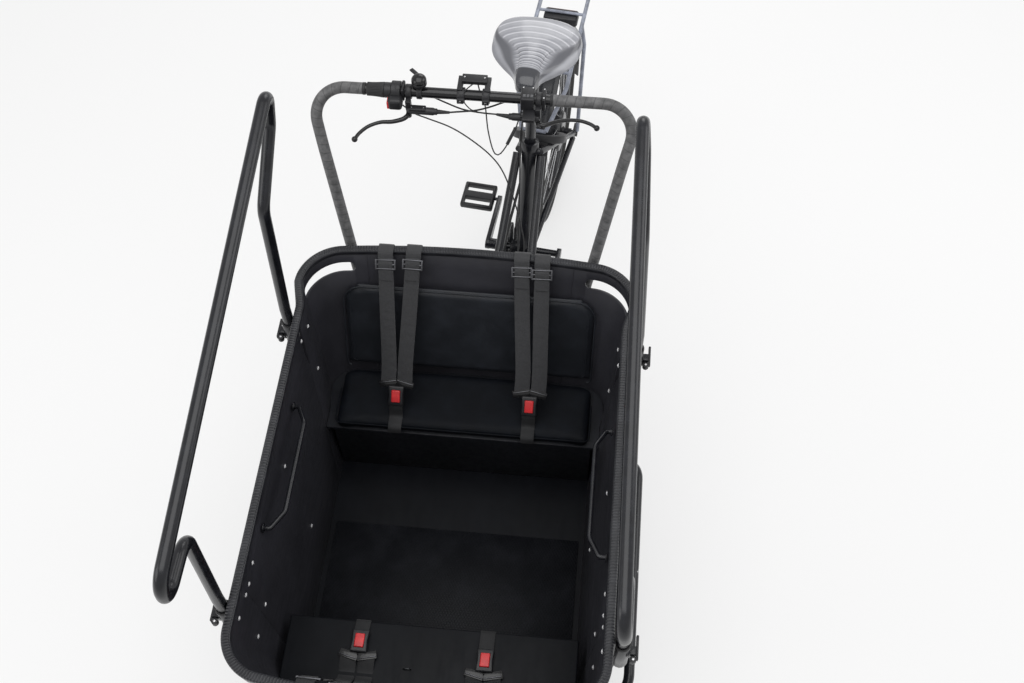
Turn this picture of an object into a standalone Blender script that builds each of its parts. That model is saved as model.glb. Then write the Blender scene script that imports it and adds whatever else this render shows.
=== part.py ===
"""Three-wheeled electric cargo bike with an open box in front and a steered rear frame.

Metres, +Z up. The box points along -Y and the rider's left is +X.
"""

import math

import bmesh
import bpy
from mathutils import Matrix, Vector

FIT = 0.0003            # air between two pieces that touch
BOLT_FIT = 0.0001       # running air around a shaft

# Box
RIM_HALF_WIDTH = 0.401
RIM_FRONT_Y = -1.125
RIM_TOP = 0.752
RIM_WIDTH = 0.021
TRIM_HEIGHT = 0.015
TRIM_ROUNDING = 0.0045
BAND_INSET = 0.002
BAND_THICKNESS = 0.0085
BAND_HEIGHT = 0.021
REAR_BOW = 0.018
REAR_CORNER_RADIUS = 0.116
REAR_FLARE = 0.017
FLARE_END_Y = -0.205
FRONT_CORNER_RADIUS = 0.105
FRONT_BOW = 0.023
PANEL_INSET = 0.011
PANEL_THICKNESS = 0.007
PANEL_BOTTOM = 0.190
FLOOR_HALF_WIDTH = 0.340
FLOOR_REAR_Y = -0.235
FLOOR_FRONT_Y = -0.985
FLOOR_CORNER_RADIUS = 0.055
FLOOR_BOW = 0.001
FLOOR_FLARE_END_Y = -0.335
FLOOR_THICKNESS = 0.010
REAR_BOW_X = 0.120
REAR_JOINT_X = 0.262
HAND_SLOT_START_X = 0.294
REAR_RUN_X = 0.316
SIDE_JOINT_REAR_Y = -0.250
SIDE_JOINT_FRONT_Y = -0.900
FLOOR_JOINT_REAR_Y = -0.400
FLOOR_JOINT_FRONT_Y = -0.915
HAND_SLOT_TOP = 0.713
HAND_SLOT_HEIGHT = 0.028
JOINT_GAP = 0.0004
MAT_AIR = 0.0139
MAT_REAR_Y = -0.520
MAT_FRONT_Y = -0.950
MAT_THICKNESS = 0.003

# Seats in the box
SEAT_TOP = 0.3995
WALL_AIR = 0.0008
SEAT_BOARD = 0.012
SEAT_FRONT_Y = -0.345
SEAT_CUSHION_HEIGHT = 0.032
SEAT_CUSHION_AIR = 0.01916
SEAT_CUSHION_REAR_Y = -0.183
SEAT_CUSHION_FRONT_Y = -0.350
BACK_CUSHION_THICKNESS = 0.020
BACK_CUSHION_AIR = 0.03016
BACK_CUSHION_TOP = 0.665
BACK_CUSHION_CORNER = 0.050
BENCH_TOP = 0.444
BENCH_BOARD = 0.014
BENCH_AIR = 0.02023
BENCH_REAR_Y = -0.859
BENCH_LIP = 0.036
BELT_WEB_WIDTH = 0.038
BELT_WEB_THICKNESS = 0.002
BELT_END_Z = 0.712
BELT_OVERHANG = 0.003
REAR_BUCKLE_Y = -0.283
REAR_BUCKLE_Z = 0.484
REAR_BUCKLE_LEFT_X = 0.169
REAR_BUCKLE_RIGHT_X = -0.170
REAR_BUCKLE_LEAN = (0.0, -0.681, -0.731)
REAR_STRAPS_LEFT = (0.128, 0.179)
REAR_STRAPS_RIGHT = (-0.139, -0.2085)
FRONT_BUCKLE_LEFT = (0.126, -0.930)
FRONT_BUCKLE_RIGHT = (-0.164, -0.911)
FRONT_STRAPS_LEFT = (0.092, 0.160)
FRONT_STRAPS_RIGHT = (-0.139, -0.2085)
TONGUE_WIDTH = 0.080
TONGUE_THICKNESS = 0.005
BUCKLE_WIDTH = 0.040
BUCKLE_LENGTH = 0.052
BUCKLE_HEIGHT = 0.018
BUTTON_WIDTH = 0.022
BUTTON_LENGTH = 0.032
BUTTON_HEIGHT = 0.012
BUTTON_PROUD = 0.003
BUTTON_TRAVEL = 0.003

# Grab rails
GRAB_RADIUS = 0.0055
GRAB_X = 0.338
GRAB_Z = 0.683
GRAB_REAR_Y = -0.432
GRAB_FRONT_Y = -0.750
GRAB_REAR_END_Z = 0.664
GRAB_FRONT_END_Z = 0.688
GRAB_ROOT_X = 0.362
GRAB_BENDS = (0.010, 0.030, 0.030, 0.010)

# Hoops and their holders
HOOP_RADIUS = 0.0135
HOOP_X = 0.4210
HOOP_REAR_Y = -0.222
HOOP_FRONT_Y = -0.940
HOOP_BOTTOM = 0.600
HOOP_LEAN_START = 0.760
HOOP_LEAN = 0.045
HOOP_APEX_Z = 1.372
HOOP_APEX_Y = -0.088
HOOP_NOSE_Y = -1.069
HOOP_NOSE_LOW_Z = 1.100
HOOP_NOSE_HIGH_Z = 1.190
HOOP_KNEE_Y = -0.098
HOOP_KNEE_HIGH_Z = 1.270
HOOP_KNEE_LOW_Z = 1.142
HOOP_BENDS = (0.10, 0.045, 0.042, 0.042, 0.034, 0.045, 0.055, 0.10)
HOLDER_RADIUS = 0.0180
HOLDER_TOP = 0.700
HOLDER_FLOOR = 0.010
HOOP_FIT = 0.0004
EAR_REACH = 0.0135
EAR_WIDTH = 0.018
EAR_Z = 0.650
EAR_HEIGHT = 0.028
LEVER_CAM_RADIUS = 0.0075
LEVER_HEIGHT = 0.014
LEVER_LENGTH = 0.053
LEVER_THICKNESS = 0.0055

# Handlebar
BAR_RADIUS = 0.0125
BAR_Y = 0.178
BAR_Z = 1.100
BAR_CORNER_X = 0.386
BAR_BEND_RADIUS = 0.070
BAR_RIM_BEND = 0.60
BAR_KINK_BEND = 0.30
BAR_KINK_X = 0.3535
BAR_KINK_Y = 0.101
BAR_KINK_Z = 0.980
BAR_RIM_X = 0.305
BAR_RIM_Y = 0.006
BAR_RIM_Z = 0.736
BAR_FOOT_X = 0.192
BAR_FOOT_Y = -0.211
FOOT_PLATE_TOP = 0.1925
FOOT_PLATE_BOTTOM = 0.178
FOOT_PLATE_HALF_WIDTH = 0.021
FOOT_PLATE_REAR_Y = -0.1850
FOOT_PLATE_FRONT_Y = -0.2335
CLAMP_WALL = 0.0045
PERCH_X = 0.150
PERCH_INNER_X = 0.083
PERCH_BODY_RADIUS = 0.009
PERCH_BODY_Y = 0.150
PERCH_BODY_Z = 1.068
LEVER_PIVOT_Y = 0.150
LEVER_BARREL_RADIUS = 0.0065
LEVER_BARREL_HEIGHT = 0.011
BLADE_RADIUS = 0.0048
SHIFTER_INNER_X = 0.190
SHIFTER_OUTER_X = 0.247
SHIFTER_RADIUS = 0.0180
SHIFTER_RIBS = 18
BELL_X = 0.125
BELL_RADIUS = 0.0175
DISPLAY_HALF_WIDTH = 0.038
DISPLAY_DEPTH = 0.044
CABLE_RADIUS = 0.0022

# Under-frame
RAIL_RADIUS = 0.0150
RAIL_X = 0.190
CROSS_RADIUS = 0.0138
CROSS_REAR_Y = -0.222
CROSS_FRONT_Y = -0.960
CROSS_REAR_HALF = 0.235
CROSS_FRONT_HALF = 0.215
FRONT_AXLE_Y = -0.610
AXLE_BEAM_RADIUS = 0.0180
AXLE_RADIUS = 0.0060
AXLE_COLLAR_RADIUS = 0.0095
HUB_PLATE_X = 0.3525
HUB_PLATE_THICKNESS = 0.006
HUB_PLATE_WIDTH = 0.080
HUB_PLATE_TOP = 0.272
HUB_PLATE_BOTTOM = 0.155
GUARD_RADIUS = 0.0130
GUARD_X = 0.4640
GUARD_REAR_Y = -0.290
GUARD_FRONT_Y = -0.930
GUARD_KINK_X = 0.375
GUARD_BENDS = (0.05, 0.06, 0.06, 0.05)

# Wheels
FRONT_WHEEL_RADIUS = 0.250
FRONT_WHEEL_X = 0.405
TYRE_WIDTH = 0.047
RIM_BED_WIDTH = 0.030
RIM_BED_DEPTH = 0.018
SPOKE_RADIUS = 0.0012
SPOKES_PER_SIDE = 10
FRONT_HUB_HALF = 0.040
REAR_WHEEL_RADIUS = 0.300
REAR_AXLE_Y = 0.810
REAR_HUB_HALF = 0.0600
MOTOR_RADIUS = 0.0620
MOTOR_HALF = 0.0330

# Steering
KINGPIN_Y = -0.540
KINGPIN_RADIUS = 0.0120
KINGPIN_FLANGE_RADIUS = 0.0200
KINGPIN_FLANGE = 0.0120
HEAD_BLOCK_HALF_WIDTH = 0.045
HEAD_BLOCK_BOTTOM = 0.1605
HEAD_BLOCK_TOP = 0.1880
REAR_TURN = math.radians(-6.2)
HEAD_RADIUS = 0.0250
HEAD_BOTTOM = 0.092
HEAD_TOP = 0.152
BEAM_RADIUS = 0.0200
BEAM_Z = 0.123

# Rear frame, drawn straight behind the box
CRANK_Y = 0.350
CRANK_Z = 0.290
SHELL_RADIUS = 0.0230
SHELL_HALF = 0.0350
SPINDLE_RADIUS = 0.0100
SEAT_TUBE_TOP_Y = 0.450
SEAT_TUBE_TOP_Z = 0.650
SEAT_TUBE_RADIUS = 0.0210
SEAT_COLLAR_WALL = 0.0040
SEAT_BORE_DEPTH = 0.220
SEAT_POST_RADIUS = 0.0150
SEAT_POST_INSERT = 0.110
SADDLE_CLAMP_Z = 0.905
SADDLE_HEIGHT = 0.052
SADDLE_NOSE_Y = 0.358
SADDLE_TAIL_Y = 0.620
SADDLE_HALF_WIDTH = 0.1175
SADDLE_UNDERSIDE = 0.030
SADDLE_RAIL_RADIUS = 0.0035
SADDLE_RAIL_X = 0.016
SADDLE_RAIL_FRONT_Y = 0.440
SADDLE_RAIL_REAR_Y = 0.560
TWIN_RADIUS = 0.0120
TWIN_LOW_X = 0.0660
TWIN_TOP_X = 0.0330
TWIN_LOW_Y = -0.050
TWIN_LOW_Z = 0.140
TWIN_TOP_Z = 0.610
STAY_RADIUS = 0.0085
STAY_FRONT_X = 0.0260
SEAT_STAY_TOP_X = 0.0310
STAY_TOP_Z = 0.622
DROPOUT_X = 0.0700
DROPOUT_THICKNESS = 0.006
DOCK_START = 0.08
DOCK_END = 0.56
BATTERY_HALF_WIDTH = 0.0310
BATTERY_HEIGHT = 0.078
DOCK_THICKNESS = 0.010
MUDGUARD_AIR = 0.0230
MUDGUARD_HALF_WIDTH = 0.0310
MUDGUARD_THICKNESS = 0.0030
MUDGUARD_DROP = 0.0120
MUDGUARD_START = math.radians(174)
MUDGUARD_END = math.radians(-12)
MUDGUARD_STEPS = 20
BRIDGE_RADIUS = 0.0060
RACK_RISE = 0.0640
RACK_HALF_WIDTH = 0.068
RACK_START_Y = 0.620
RACK_END_Y = 1.128
RACK_RADIUS = 0.0060
RACK_BENDS = (0.03, 0.04, 0.04, 0.03)
RACK_LEG_Y = 0.870
RACK_BAR_RADIUS = 0.0045
RACK_FRONT_BAR_Y = 0.680
RACK_REAR_BAR_Y = 1.020
RACK_TIE_RADIUS = 0.0050
RACK_TIE_HALF = 0.034
RACK_TIE_Y = 0.500
RACK_TIE_Z = 0.640
RACK_TIE_END_Y = 0.455
LAMP_WIDTH = 0.100
LAMP_DEPTH = 0.044
LAMP_HEIGHT = 0.030
LAMP_Y = 0.915
LOCK_AIR = 0.010
LOCK_INNER = 0.0560
LOCK_OUTER = 0.0780
LOCK_DEPTH = 0.022
CRANK_LENGTH = 0.165
CRANK_ARM_X = 0.106
CRANK_ARM_THICKNESS = 0.012
PEDAL_X = 0.170
PEDAL_WIDTH = 0.098
PEDAL_DEPTH = 0.092
PEDAL_HEIGHT = 0.020
PEDAL_FRAME = 0.010
PEDAL_AXLE_RADIUS = 0.0050
PEDAL_BRIDGE = 0.011
PEDAL_AXLE_STOP = 0.006
CRANK_ROOT_RADIUS = 0.017
CRANK_TIP_RADIUS = 0.0125
PULLEY_ARMS = 5
PULLEY_ARM_RADIUS = 0.0043
PULLEY_RING = 0.010
BELT_X = 0.0470
BELT_WIDTH = 0.0100
BELT_THICKNESS = 0.0040
FRONT_PULLEY_RADIUS = 0.0720
REAR_PULLEY_RADIUS = 0.0360

MUDGUARD_RADIUS = REAR_WHEEL_RADIUS + MUDGUARD_AIR
RACK_Z = REAR_WHEEL_RADIUS + MUDGUARD_RADIUS + MUDGUARD_THICKNESS + RACK_RISE
SADDLE_TOP = SADDLE_CLAMP_Z + SADDLE_HEIGHT
PANEL_TOP = RIM_TOP - TRIM_HEIGHT - FIT
RAIL_Z = PANEL_BOTTOM - FIT - RAIL_RADIUS
KINGPIN = Vector((0.0, KINGPIN_Y, 0.0))
SEAT_DIRECTION = Vector((0.0, SEAT_TUBE_TOP_Y - CRANK_Y, SEAT_TUBE_TOP_Z - CRANK_Z)).normalized()
SIDES = ((1, "left"), (-1, "right"))

for old in list(bpy.data.objects):
    bpy.data.objects.remove(old, do_unlink=True)

trike = bpy.data.collections.new("cargo_trike")
bpy.context.scene.collection.children.link(trike)


def material(name, colour, roughness, metallic=0.0):
    made = bpy.data.materials.new(name)
    made.use_nodes = True
    shader = made.node_tree.nodes["Principled BSDF"]
    shader.inputs["Base Color"].default_value = (*colour, 1.0)
    shader.inputs["Roughness"].default_value = roughness
    shader.inputs["Metallic"].default_value = metallic
    made.diffuse_color = (*colour, 1.0)
    return made


black_paint = material("black_paint", (0.012, 0.012, 0.014), 0.3, 0.2)
black_board = material("black_board", (0.012, 0.012, 0.015), 0.5)
black_rubber = material("black_rubber", (0.018, 0.018, 0.020), 0.6)
tyre_rubber = material("tyre_rubber", (0.020, 0.020, 0.020), 0.8)
black_cushion = material("black_cushion", (0.014, 0.014, 0.016), 0.6)
web_black = material("web_black", (0.016, 0.016, 0.017), 0.75)
button_red = material("button_red", (0.60, 0.03, 0.02), 0.35)
black_plastic = material("black_plastic", (0.020, 0.020, 0.022), 0.45)
bar_tape = material("bar_tape", (0.075, 0.072, 0.070), 0.7)
saddle_grey = material("saddle_grey", (0.12, 0.12, 0.13), 0.3)
lamp_red = material("lamp_red", (0.10, 0.01, 0.01), 0.25)


# Two empties carry the two halves: what stands on the front wheels, and what steers.
front_half = bpy.data.objects.new("front_half", None)
trike.objects.link(front_half)
rear_half = bpy.data.objects.new("rear_half", None)
rear_half.location = KINGPIN
rear_half.rotation_euler = (0.0, 0.0, REAR_TURN)
trike.objects.link(rear_half)


def body(bm, name="piece"):
    """Turn a bmesh into an object with outward faces, left at the world origin."""
    bmesh.ops.remove_doubles(bm, verts=bm.verts, dist=0.00001)
    bmesh.ops.recalc_face_normals(bm, faces=bm.faces)
    mesh = bpy.data.meshes.new(name)
    bm.to_mesh(mesh)
    bm.free()
    made = bpy.data.objects.new(name, mesh)
    trike.objects.link(made)
    return made


def evaluated_mesh(thing):
    bpy.context.view_layer.update()
    graph = bpy.context.evaluated_depsgraph_get()
    return bpy.data.meshes.new_from_object(thing.evaluated_get(graph))


def boolean(target, tools, operation):
    for tool in tools:
        step = target.modifiers.new("step", "BOOLEAN")
        step.operation = operation
        step.solver = "EXACT"
        step.object = tool
        mesh = evaluated_mesh(target)
        target.modifiers.clear()
        target.data = mesh
        bpy.data.objects.remove(tool, do_unlink=True)
    return target


def join(target, *tools):
    return boolean(target, tools, "UNION")


def cut(target, *tools):
    return boolean(target, tools, "DIFFERENCE")


def finish(thing, name, paint, parent=front_half, origin=(0.0, 0.0, 0.0), smooth=35.0):
    """Name a piece, paint it, put its origin on its joint and parent it."""
    mesh = thing.data
    bm = bmesh.new()
    bm.from_mesh(mesh)
    bmesh.ops.dissolve_degenerate(bm, edges=bm.edges, dist=0.000005)
    bm.to_mesh(mesh)
    bm.free()
    mesh.transform(Matrix.Translation(-Vector(origin)))
    mesh.name = name
    mesh.materials.clear()
    mesh.materials.append(paint)
    mesh.shade_smooth()
    mesh.set_sharp_from_angle(angle=math.radians(smooth))
    thing.name = name
    thing.parent = parent
    thing.location = Vector(origin) - parent.location
    return thing


def block(low, high, bevel=0.0, segments=2):
    """A box between two corners, with its edges rounded."""
    bm = bmesh.new()
    bmesh.ops.create_cube(bm, size=1.0)
    size = Vector(high) - Vector(low)
    bmesh.ops.scale(bm, vec=size, verts=bm.verts)
    bmesh.ops.translate(bm, vec=(Vector(low) + Vector(high)) / 2, verts=bm.verts)
    if bevel:
        bmesh.ops.bevel(bm, geom=bm.edges, offset=bevel, segments=segments,
                        profile=0.5, affect="EDGES")
    return body(bm)


def loft(rings, closed=False):
    """One surface through rings of points, with flat ends or closed on itself."""
    bm = bmesh.new()
    lines = [[bm.verts.new(point) for point in line] for line in rings]
    pairs = list(zip(lines, lines[1:]))
    if closed:
        pairs.append((lines[-1], lines[0]))
    else:
        bm.faces.new(lines[0])
        bm.faces.new(lines[-1])
    for a, b in pairs:
        for i in range(len(a)):
            j = (i + 1) % len(a)
            bm.faces.new((a[i], a[j], b[j], b[i]))
    return body(bm)


def prism(outline, low, high):
    """An outline in X and Y carried straight up from one height to another."""
    bm = bmesh.new()
    bottom = bm.faces.new([bm.verts.new((x, y, low)) for x, y in outline])
    copy = bmesh.ops.duplicate(bm, geom=[bottom])["geom"]
    lid = [item for item in copy if isinstance(item, bmesh.types.BMFace)]
    bmesh.ops.translate(bm, vec=(0.0, 0.0, high - low), verts=lid[0].verts)
    bmesh.ops.bridge_loops(bm, edges=list(bottom.edges) + list(lid[0].edges))
    return body(bm)


def lathe(profile, steps, place, closed=True):
    """Turn a profile of (radius, height) about Z, then move it to its place."""
    bm = bmesh.new()
    verts = [bm.verts.new((radius, 0.0, height)) for radius, height in profile]
    edges = [bm.edges.new(pair) for pair in zip(verts, verts[1:])]
    if closed:
        edges.append(bm.edges.new((verts[-1], verts[0])))
    bmesh.ops.spin(bm, geom=verts + edges, cent=(0, 0, 0), axis=(0, 0, 1),
                   angle=math.tau, steps=steps, use_merge=True)
    bmesh.ops.remove_doubles(bm, verts=bm.verts, dist=0.00001)
    poles = [vert for vert in bm.verts if vert.co.xy.length < 0.00001]
    bmesh.ops.dissolve_verts(bm, verts=poles)
    bmesh.ops.transform(bm, matrix=place, verts=bm.verts)
    return body(bm)


def at_x(x, y, z, side=1):
    """Place a turned piece with its axis along X, towards either side."""
    return Matrix.Translation((x, y, z)) @ Matrix.Rotation(side * math.pi / 2, 4, "Y")


def between(start, end):
    """Place a turned piece with its axis from one point towards another."""
    direction = Vector(end) - Vector(start)
    return Matrix.Translation(start) @ direction.to_track_quat("Z", "Y").to_matrix().to_4x4()


def rod(start, end, radius, steps=12):
    length = (Vector(end) - Vector(start)).length
    profile = [(0.0, 0.0), (radius, 0.0), (radius, length), (0.0, length)]
    return lathe(profile, steps, between(start, end), closed=False)


def ring(low, high, inner, outer, steps, place):
    return lathe([(inner, low), (outer, low), (outer, high), (inner, high)], steps, place)


def bore_radius(shaft, steps, air=BOLT_FIT):
    """The corner radius of a many-sided hole whose flats clear a shaft."""
    return (shaft + air) / math.cos(math.pi / steps)


def rounded(points, radii, steps=5):
    """A path whose inner corners are bends of the given radii."""
    corners = [Vector(point) for point in points]
    path = [corners[0]]
    for before, corner, after, radius in zip(corners, corners[1:], corners[2:], radii):
        back = (before - corner).normalized()
        ahead = (after - corner).normalized()
        half = back.angle(ahead) / 2
        reach = radius / math.tan(half)
        centre = corner + (back + ahead).normalized() * radius / math.sin(half)
        first = corner + back * reach - centre
        last = corner + ahead * reach - centre
        sweep = first.angle(last)
        for i in range(steps + 1):
            share = i / steps
            turned = (first * math.sin((1 - share) * sweep) + last * math.sin(share * sweep))
            path.append(centre + turned / math.sin(sweep))
    path.append(corners[-1])
    return path


def tube(points, radius, sides=10, swell=None):
    """A round tube along a path, closed at both ends."""
    curve = bpy.data.curves.new("tube", "CURVE")
    curve.dimensions = "3D"
    curve.bevel_depth = radius
    curve.bevel_resolution = (sides - 4) // 2
    curve.use_fill_caps = True
    spline = curve.splines.new("POLY")
    spline.points.add(len(points) - 1)
    for i, (knot, point) in enumerate(zip(spline.points, points)):
        knot.co = (*point, 1.0)
        knot.radius = swell[i] if swell else 1.0
    holder = bpy.data.objects.new("tube", curve)
    trike.objects.link(holder)
    mesh = evaluated_mesh(holder)
    bpy.data.objects.remove(holder, do_unlink=True)
    bm = bmesh.new()
    bm.from_mesh(mesh)
    return body(bm)


def mirrored(points):
    return [Vector((-x, y, z)) for x, y, z in points]


def box_outline(half_width, rear_y, front_y, rear_radius, front_radius, rear_bow, front_bow,
                flare, flare_end_y, joint_rear_y, joint_front_y):
    """Half of the box's outline seen from above, from the middle of the rear to the front."""
    points = []
    slope = math.atan(2 * rear_bow / half_width)
    rear_x = half_width + flare - rear_radius * (1 - math.sin(slope))
    scale = rear_x / REAR_RUN_X
    for x in (0.0, REAR_BOW_X, REAR_JOINT_X * scale, HAND_SLOT_START_X * scale, rear_x):
        points.append((x, rear_y - rear_bow * (x / rear_x) ** 2))
    middle_x = rear_x - rear_radius * math.sin(slope)
    middle_y = rear_y - rear_bow - rear_radius * math.cos(slope)
    for i in range(1, 7):
        angle = (math.pi / 2 - slope) * (1 - i / 6)
        points.append((middle_x + rear_radius * math.cos(angle),
                       middle_y + rear_radius * math.sin(angle)))
    for share, left in ((0.4, 0.78), (0.75, 0.32), (1.0, 0.0)):
        points.append((half_width + flare * left, middle_y + (flare_end_y - middle_y) * share))
    points.append((half_width, joint_rear_y))
    points.append((half_width, joint_front_y))
    slope = math.atan(2 * front_bow / half_width)
    front_x = half_width - front_radius * (1 - math.sin(slope))
    middle_y = front_y + front_bow + front_radius * math.cos(slope)
    for i in range(7):
        angle = -(math.pi / 2 - slope) * i / 6
        points.append((half_width - front_radius + front_radius * math.cos(angle),
                       middle_y + front_radius * math.sin(angle)))
    for share in (2 / 3, 1 / 3, 0.0):
        points.append((front_x * share, front_y + front_bow * share ** 2))
    return points


def closed_loop(half):
    """Add the mirrored half. The loop runs down the +X side and back up the -X side."""
    return half + [(-x, y) for x, y in reversed(half[1:-1])]


def inset(loop, distance):
    """Move a closed outline inwards by the same distance everywhere."""
    moved = []
    count = len(loop)
    for i, (x, y) in enumerate(loop):
        here = Vector((x, y))
        ahead = (Vector(loop[(i + 1) % count]) - here).normalized()
        back = (here - Vector(loop[i - 1])).normalized()
        normal = Vector((ahead.y + back.y, -ahead.x - back.x)).normalized()
        edge_normal = Vector((ahead.y, -ahead.x))
        moved.append(tuple(here + normal * distance / normal.dot(edge_normal)))
    return moved


def mix(first, second, share):
    return [(a[0] + (b[0] - a[0]) * share, a[1] + (b[1] - a[1]) * share)
            for a, b in zip(first, second)]


rim_loop = closed_loop(box_outline(
    RIM_HALF_WIDTH, 0.0, RIM_FRONT_Y, REAR_CORNER_RADIUS, FRONT_CORNER_RADIUS, REAR_BOW,
    FRONT_BOW, REAR_FLARE, FLARE_END_Y, SIDE_JOINT_REAR_Y, SIDE_JOINT_FRONT_Y))
floor_loop = closed_loop(box_outline(
    FLOOR_HALF_WIDTH, FLOOR_REAR_Y, FLOOR_FRONT_Y, FLOOR_CORNER_RADIUS, FLOOR_CORNER_RADIUS,
    FLOOR_BOW, FLOOR_BOW, 0.0, FLOOR_FLARE_END_Y, FLOOR_JOINT_REAR_Y, FLOOR_JOINT_FRONT_Y))
outer_top = inset(rim_loop, PANEL_INSET)
inner_top = inset(rim_loop, PANEL_INSET + PANEL_THICKNESS)
inner_floor = inset(floor_loop, PANEL_THICKNESS)
LAST = len(rim_loop)
REAR_JOINT = 2
SLOT_START = 3
SLOT_END = 10
SIDE_REAR = 14
SIDE_FRONT = 15


def share_at(z):
    return (PANEL_TOP - z) / (PANEL_TOP - PANEL_BOTTOM)


def inner_loop_at(z, air=0.0):
    """The inside of the box's walls at a height."""
    return inset(mix(inner_top, inner_floor, share_at(z)), air)


def wall_x(z):
    """Half the inside width of the box at a height, between its flat sides."""
    return inner_loop_at(z)[SIDE_FRONT][0]


def wall_panel(columns, heights, slot=()):
    """One bent panel of the box, from the rim to the floor, with an optional hand slot."""
    rows = []
    for z in heights:
        share = share_at(z)
        outside = mix(outer_top, floor_loop, share)
        inside = mix(inner_top, inner_floor, share)
        sheet = []
        for loop in (outside, inside):
            line = [Vector((*loop[i], z)) for i in columns]
            trimmed = list(line)
            trimmed[0] = line[0] + (line[1] - line[0]).normalized() * JOINT_GAP / 2
            trimmed[-1] = line[-1] + (line[-2] - line[-1]).normalized() * JOINT_GAP / 2
            sheet.append(trimmed)
        rows.append(sheet)
    bm = bmesh.new()
    grid = [[[bm.verts.new(point) for point in line] for line in sheet] for sheet in rows]
    cells = {(r, c) for r in range(len(heights) - 1) for c in range(len(columns) - 1)
             if (r, c) not in slot}
    for r, c in cells:
        corners = ((r, c), (r, c + 1), (r + 1, c + 1), (r + 1, c))
        for side in (0, 1):
            bm.faces.new([grid[i][side][j] for i, j in corners])
        neighbours = ((r - 1, c), (r, c + 1), (r + 1, c), (r, c - 1))
        for step, neighbour in enumerate(neighbours):
            if neighbour not in cells:
                (i, j), (k, m) = corners[step], corners[(step + 1) % 4]
                bm.faces.new((grid[i][0][j], grid[k][0][m], grid[k][1][m], grid[i][1][j]))
    return body(bm)


def swept_rim(profile):
    """A closed profile of (inset, height) carried round the rim."""
    return loft([[(x, y, z) for x, y in inset(rim_loop, distance)] for distance, z in profile],
                closed=True)


def rim_y(x, points):
    """The rim's outer edge at a place across the box, on its rear or front run."""
    for (x0, y0), (x1, y1) in zip(points, points[1:]):
        if min(abs(x0), abs(x1)) <= abs(x) <= max(abs(x0), abs(x1)):
            return y0 + (y1 - y0) * (abs(x) - abs(x0)) / (abs(x1) - abs(x0))


def make_box():
    low = RIM_TOP - TRIM_HEIGHT
    trim = swept_rim([(0.0, low), (0.0, RIM_TOP - TRIM_ROUNDING), (TRIM_ROUNDING, RIM_TOP),
                      (RIM_WIDTH - TRIM_ROUNDING, RIM_TOP),
                      (RIM_WIDTH, RIM_TOP - TRIM_ROUNDING), (RIM_WIDTH, low)])
    finish(trim, "rim_trim", black_rubber)

    band_inner = BAND_INSET + BAND_THICKNESS
    band = swept_rim([(BAND_INSET, PANEL_TOP - BAND_HEIGHT), (BAND_INSET, PANEL_TOP),
                      (band_inner, PANEL_TOP), (band_inner, PANEL_TOP - BAND_HEIGHT)])
    for side in (1, -1):
        for y in (HOOP_REAR_Y, HOOP_FRONT_Y):
            join(band, hoop_holder(side, y))
    finish(band, "rim_frame", black_paint)

    heights = (PANEL_TOP, PANEL_BOTTOM)
    finish(wall_panel(range(SIDE_REAR, SIDE_FRONT + 1), heights), "side_panel_left", black_board)
    mirrored_side = range(LAST - SIDE_FRONT, LAST - SIDE_REAR + 1)
    finish(wall_panel(mirrored_side, heights), "side_panel_right", black_board)
    across = [i % LAST for i in range(-REAR_JOINT, REAR_JOINT + 1)]
    finish(wall_panel(across, (PANEL_TOP, SEAT_TOP, PANEL_BOTTOM)), "rear_panel", black_board)
    front = range(SIDE_FRONT, LAST - SIDE_FRONT + 1)
    finish(wall_panel(front, (PANEL_TOP, BENCH_TOP, PANEL_BOTTOM)), "front_panel", black_board)

    heights = (PANEL_TOP, HAND_SLOT_TOP, HAND_SLOT_TOP - HAND_SLOT_HEIGHT, SEAT_TOP, PANEL_BOTTOM)
    columns = list(range(REAR_JOINT, SIDE_REAR + 1))
    slot = {(1, c) for c in range(SLOT_START - REAR_JOINT, SLOT_END - REAR_JOINT)}
    finish(wall_panel(columns, heights, slot), "corner_panel_left", black_board)
    columns = [LAST - i for i in reversed(columns)]
    slot = {(1, len(columns) - 2 - c) for _, c in slot}
    finish(wall_panel(columns, heights, slot), "corner_panel_right", black_board)

    outline = inset(inner_floor, FIT)
    floor = prism(outline, PANEL_BOTTOM, PANEL_BOTTOM + FLOOR_THICKNESS)
    finish(floor, "floor_panel", black_board)

    low = PANEL_BOTTOM + FLOOR_THICKNESS + FIT
    half = wall_x(low) - MAT_AIR
    mat = block((-half, MAT_FRONT_Y, low), (half, MAT_REAR_Y, low + MAT_THICKNESS), 0.0008, 1)
    finish(mat, "floor_mat", black_rubber)


def hoop_holder(side, y):
    """A blind socket for one leg of a hoop, bridged to the rim frame, with a lever's ear."""
    hole = bore_radius(HOOP_RADIUS, 16, HOOP_FIT)
    low = HOOP_BOTTOM - FIT - HOLDER_FLOOR
    profile = [(0.0, low), (HOLDER_RADIUS, low), (HOLDER_RADIUS, HOLDER_TOP),
               (hole, HOLDER_TOP), (hole, HOOP_BOTTOM - FIT), (0.0, HOOP_BOTTOM - FIT)]
    holder = lathe(profile, 16, Matrix.Translation((side * HOOP_X, y, 0.0)), closed=False)
    band_x = RIM_HALF_WIDTH - BAND_INSET
    inner = band_x - BAND_THICKNESS + 0.002
    outer = HOOP_X - hole - 0.001
    near, far = sorted((side * inner, side * outer))
    bridge = block((near, y - 0.012, 0.630), (far, y + 0.012, PANEL_TOP - 0.006))
    near, far = sorted((side * (HOOP_X + HOLDER_RADIUS - 0.002),
                        side * (HOOP_X + HOLDER_RADIUS + EAR_REACH - 0.001)))
    ear = block((near, y - EAR_WIDTH / 2, EAR_Z - EAR_HEIGHT / 2),
                (far, y + EAR_WIDTH / 2, EAR_Z + EAR_HEIGHT / 2))
    return join(holder, bridge, ear)


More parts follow.
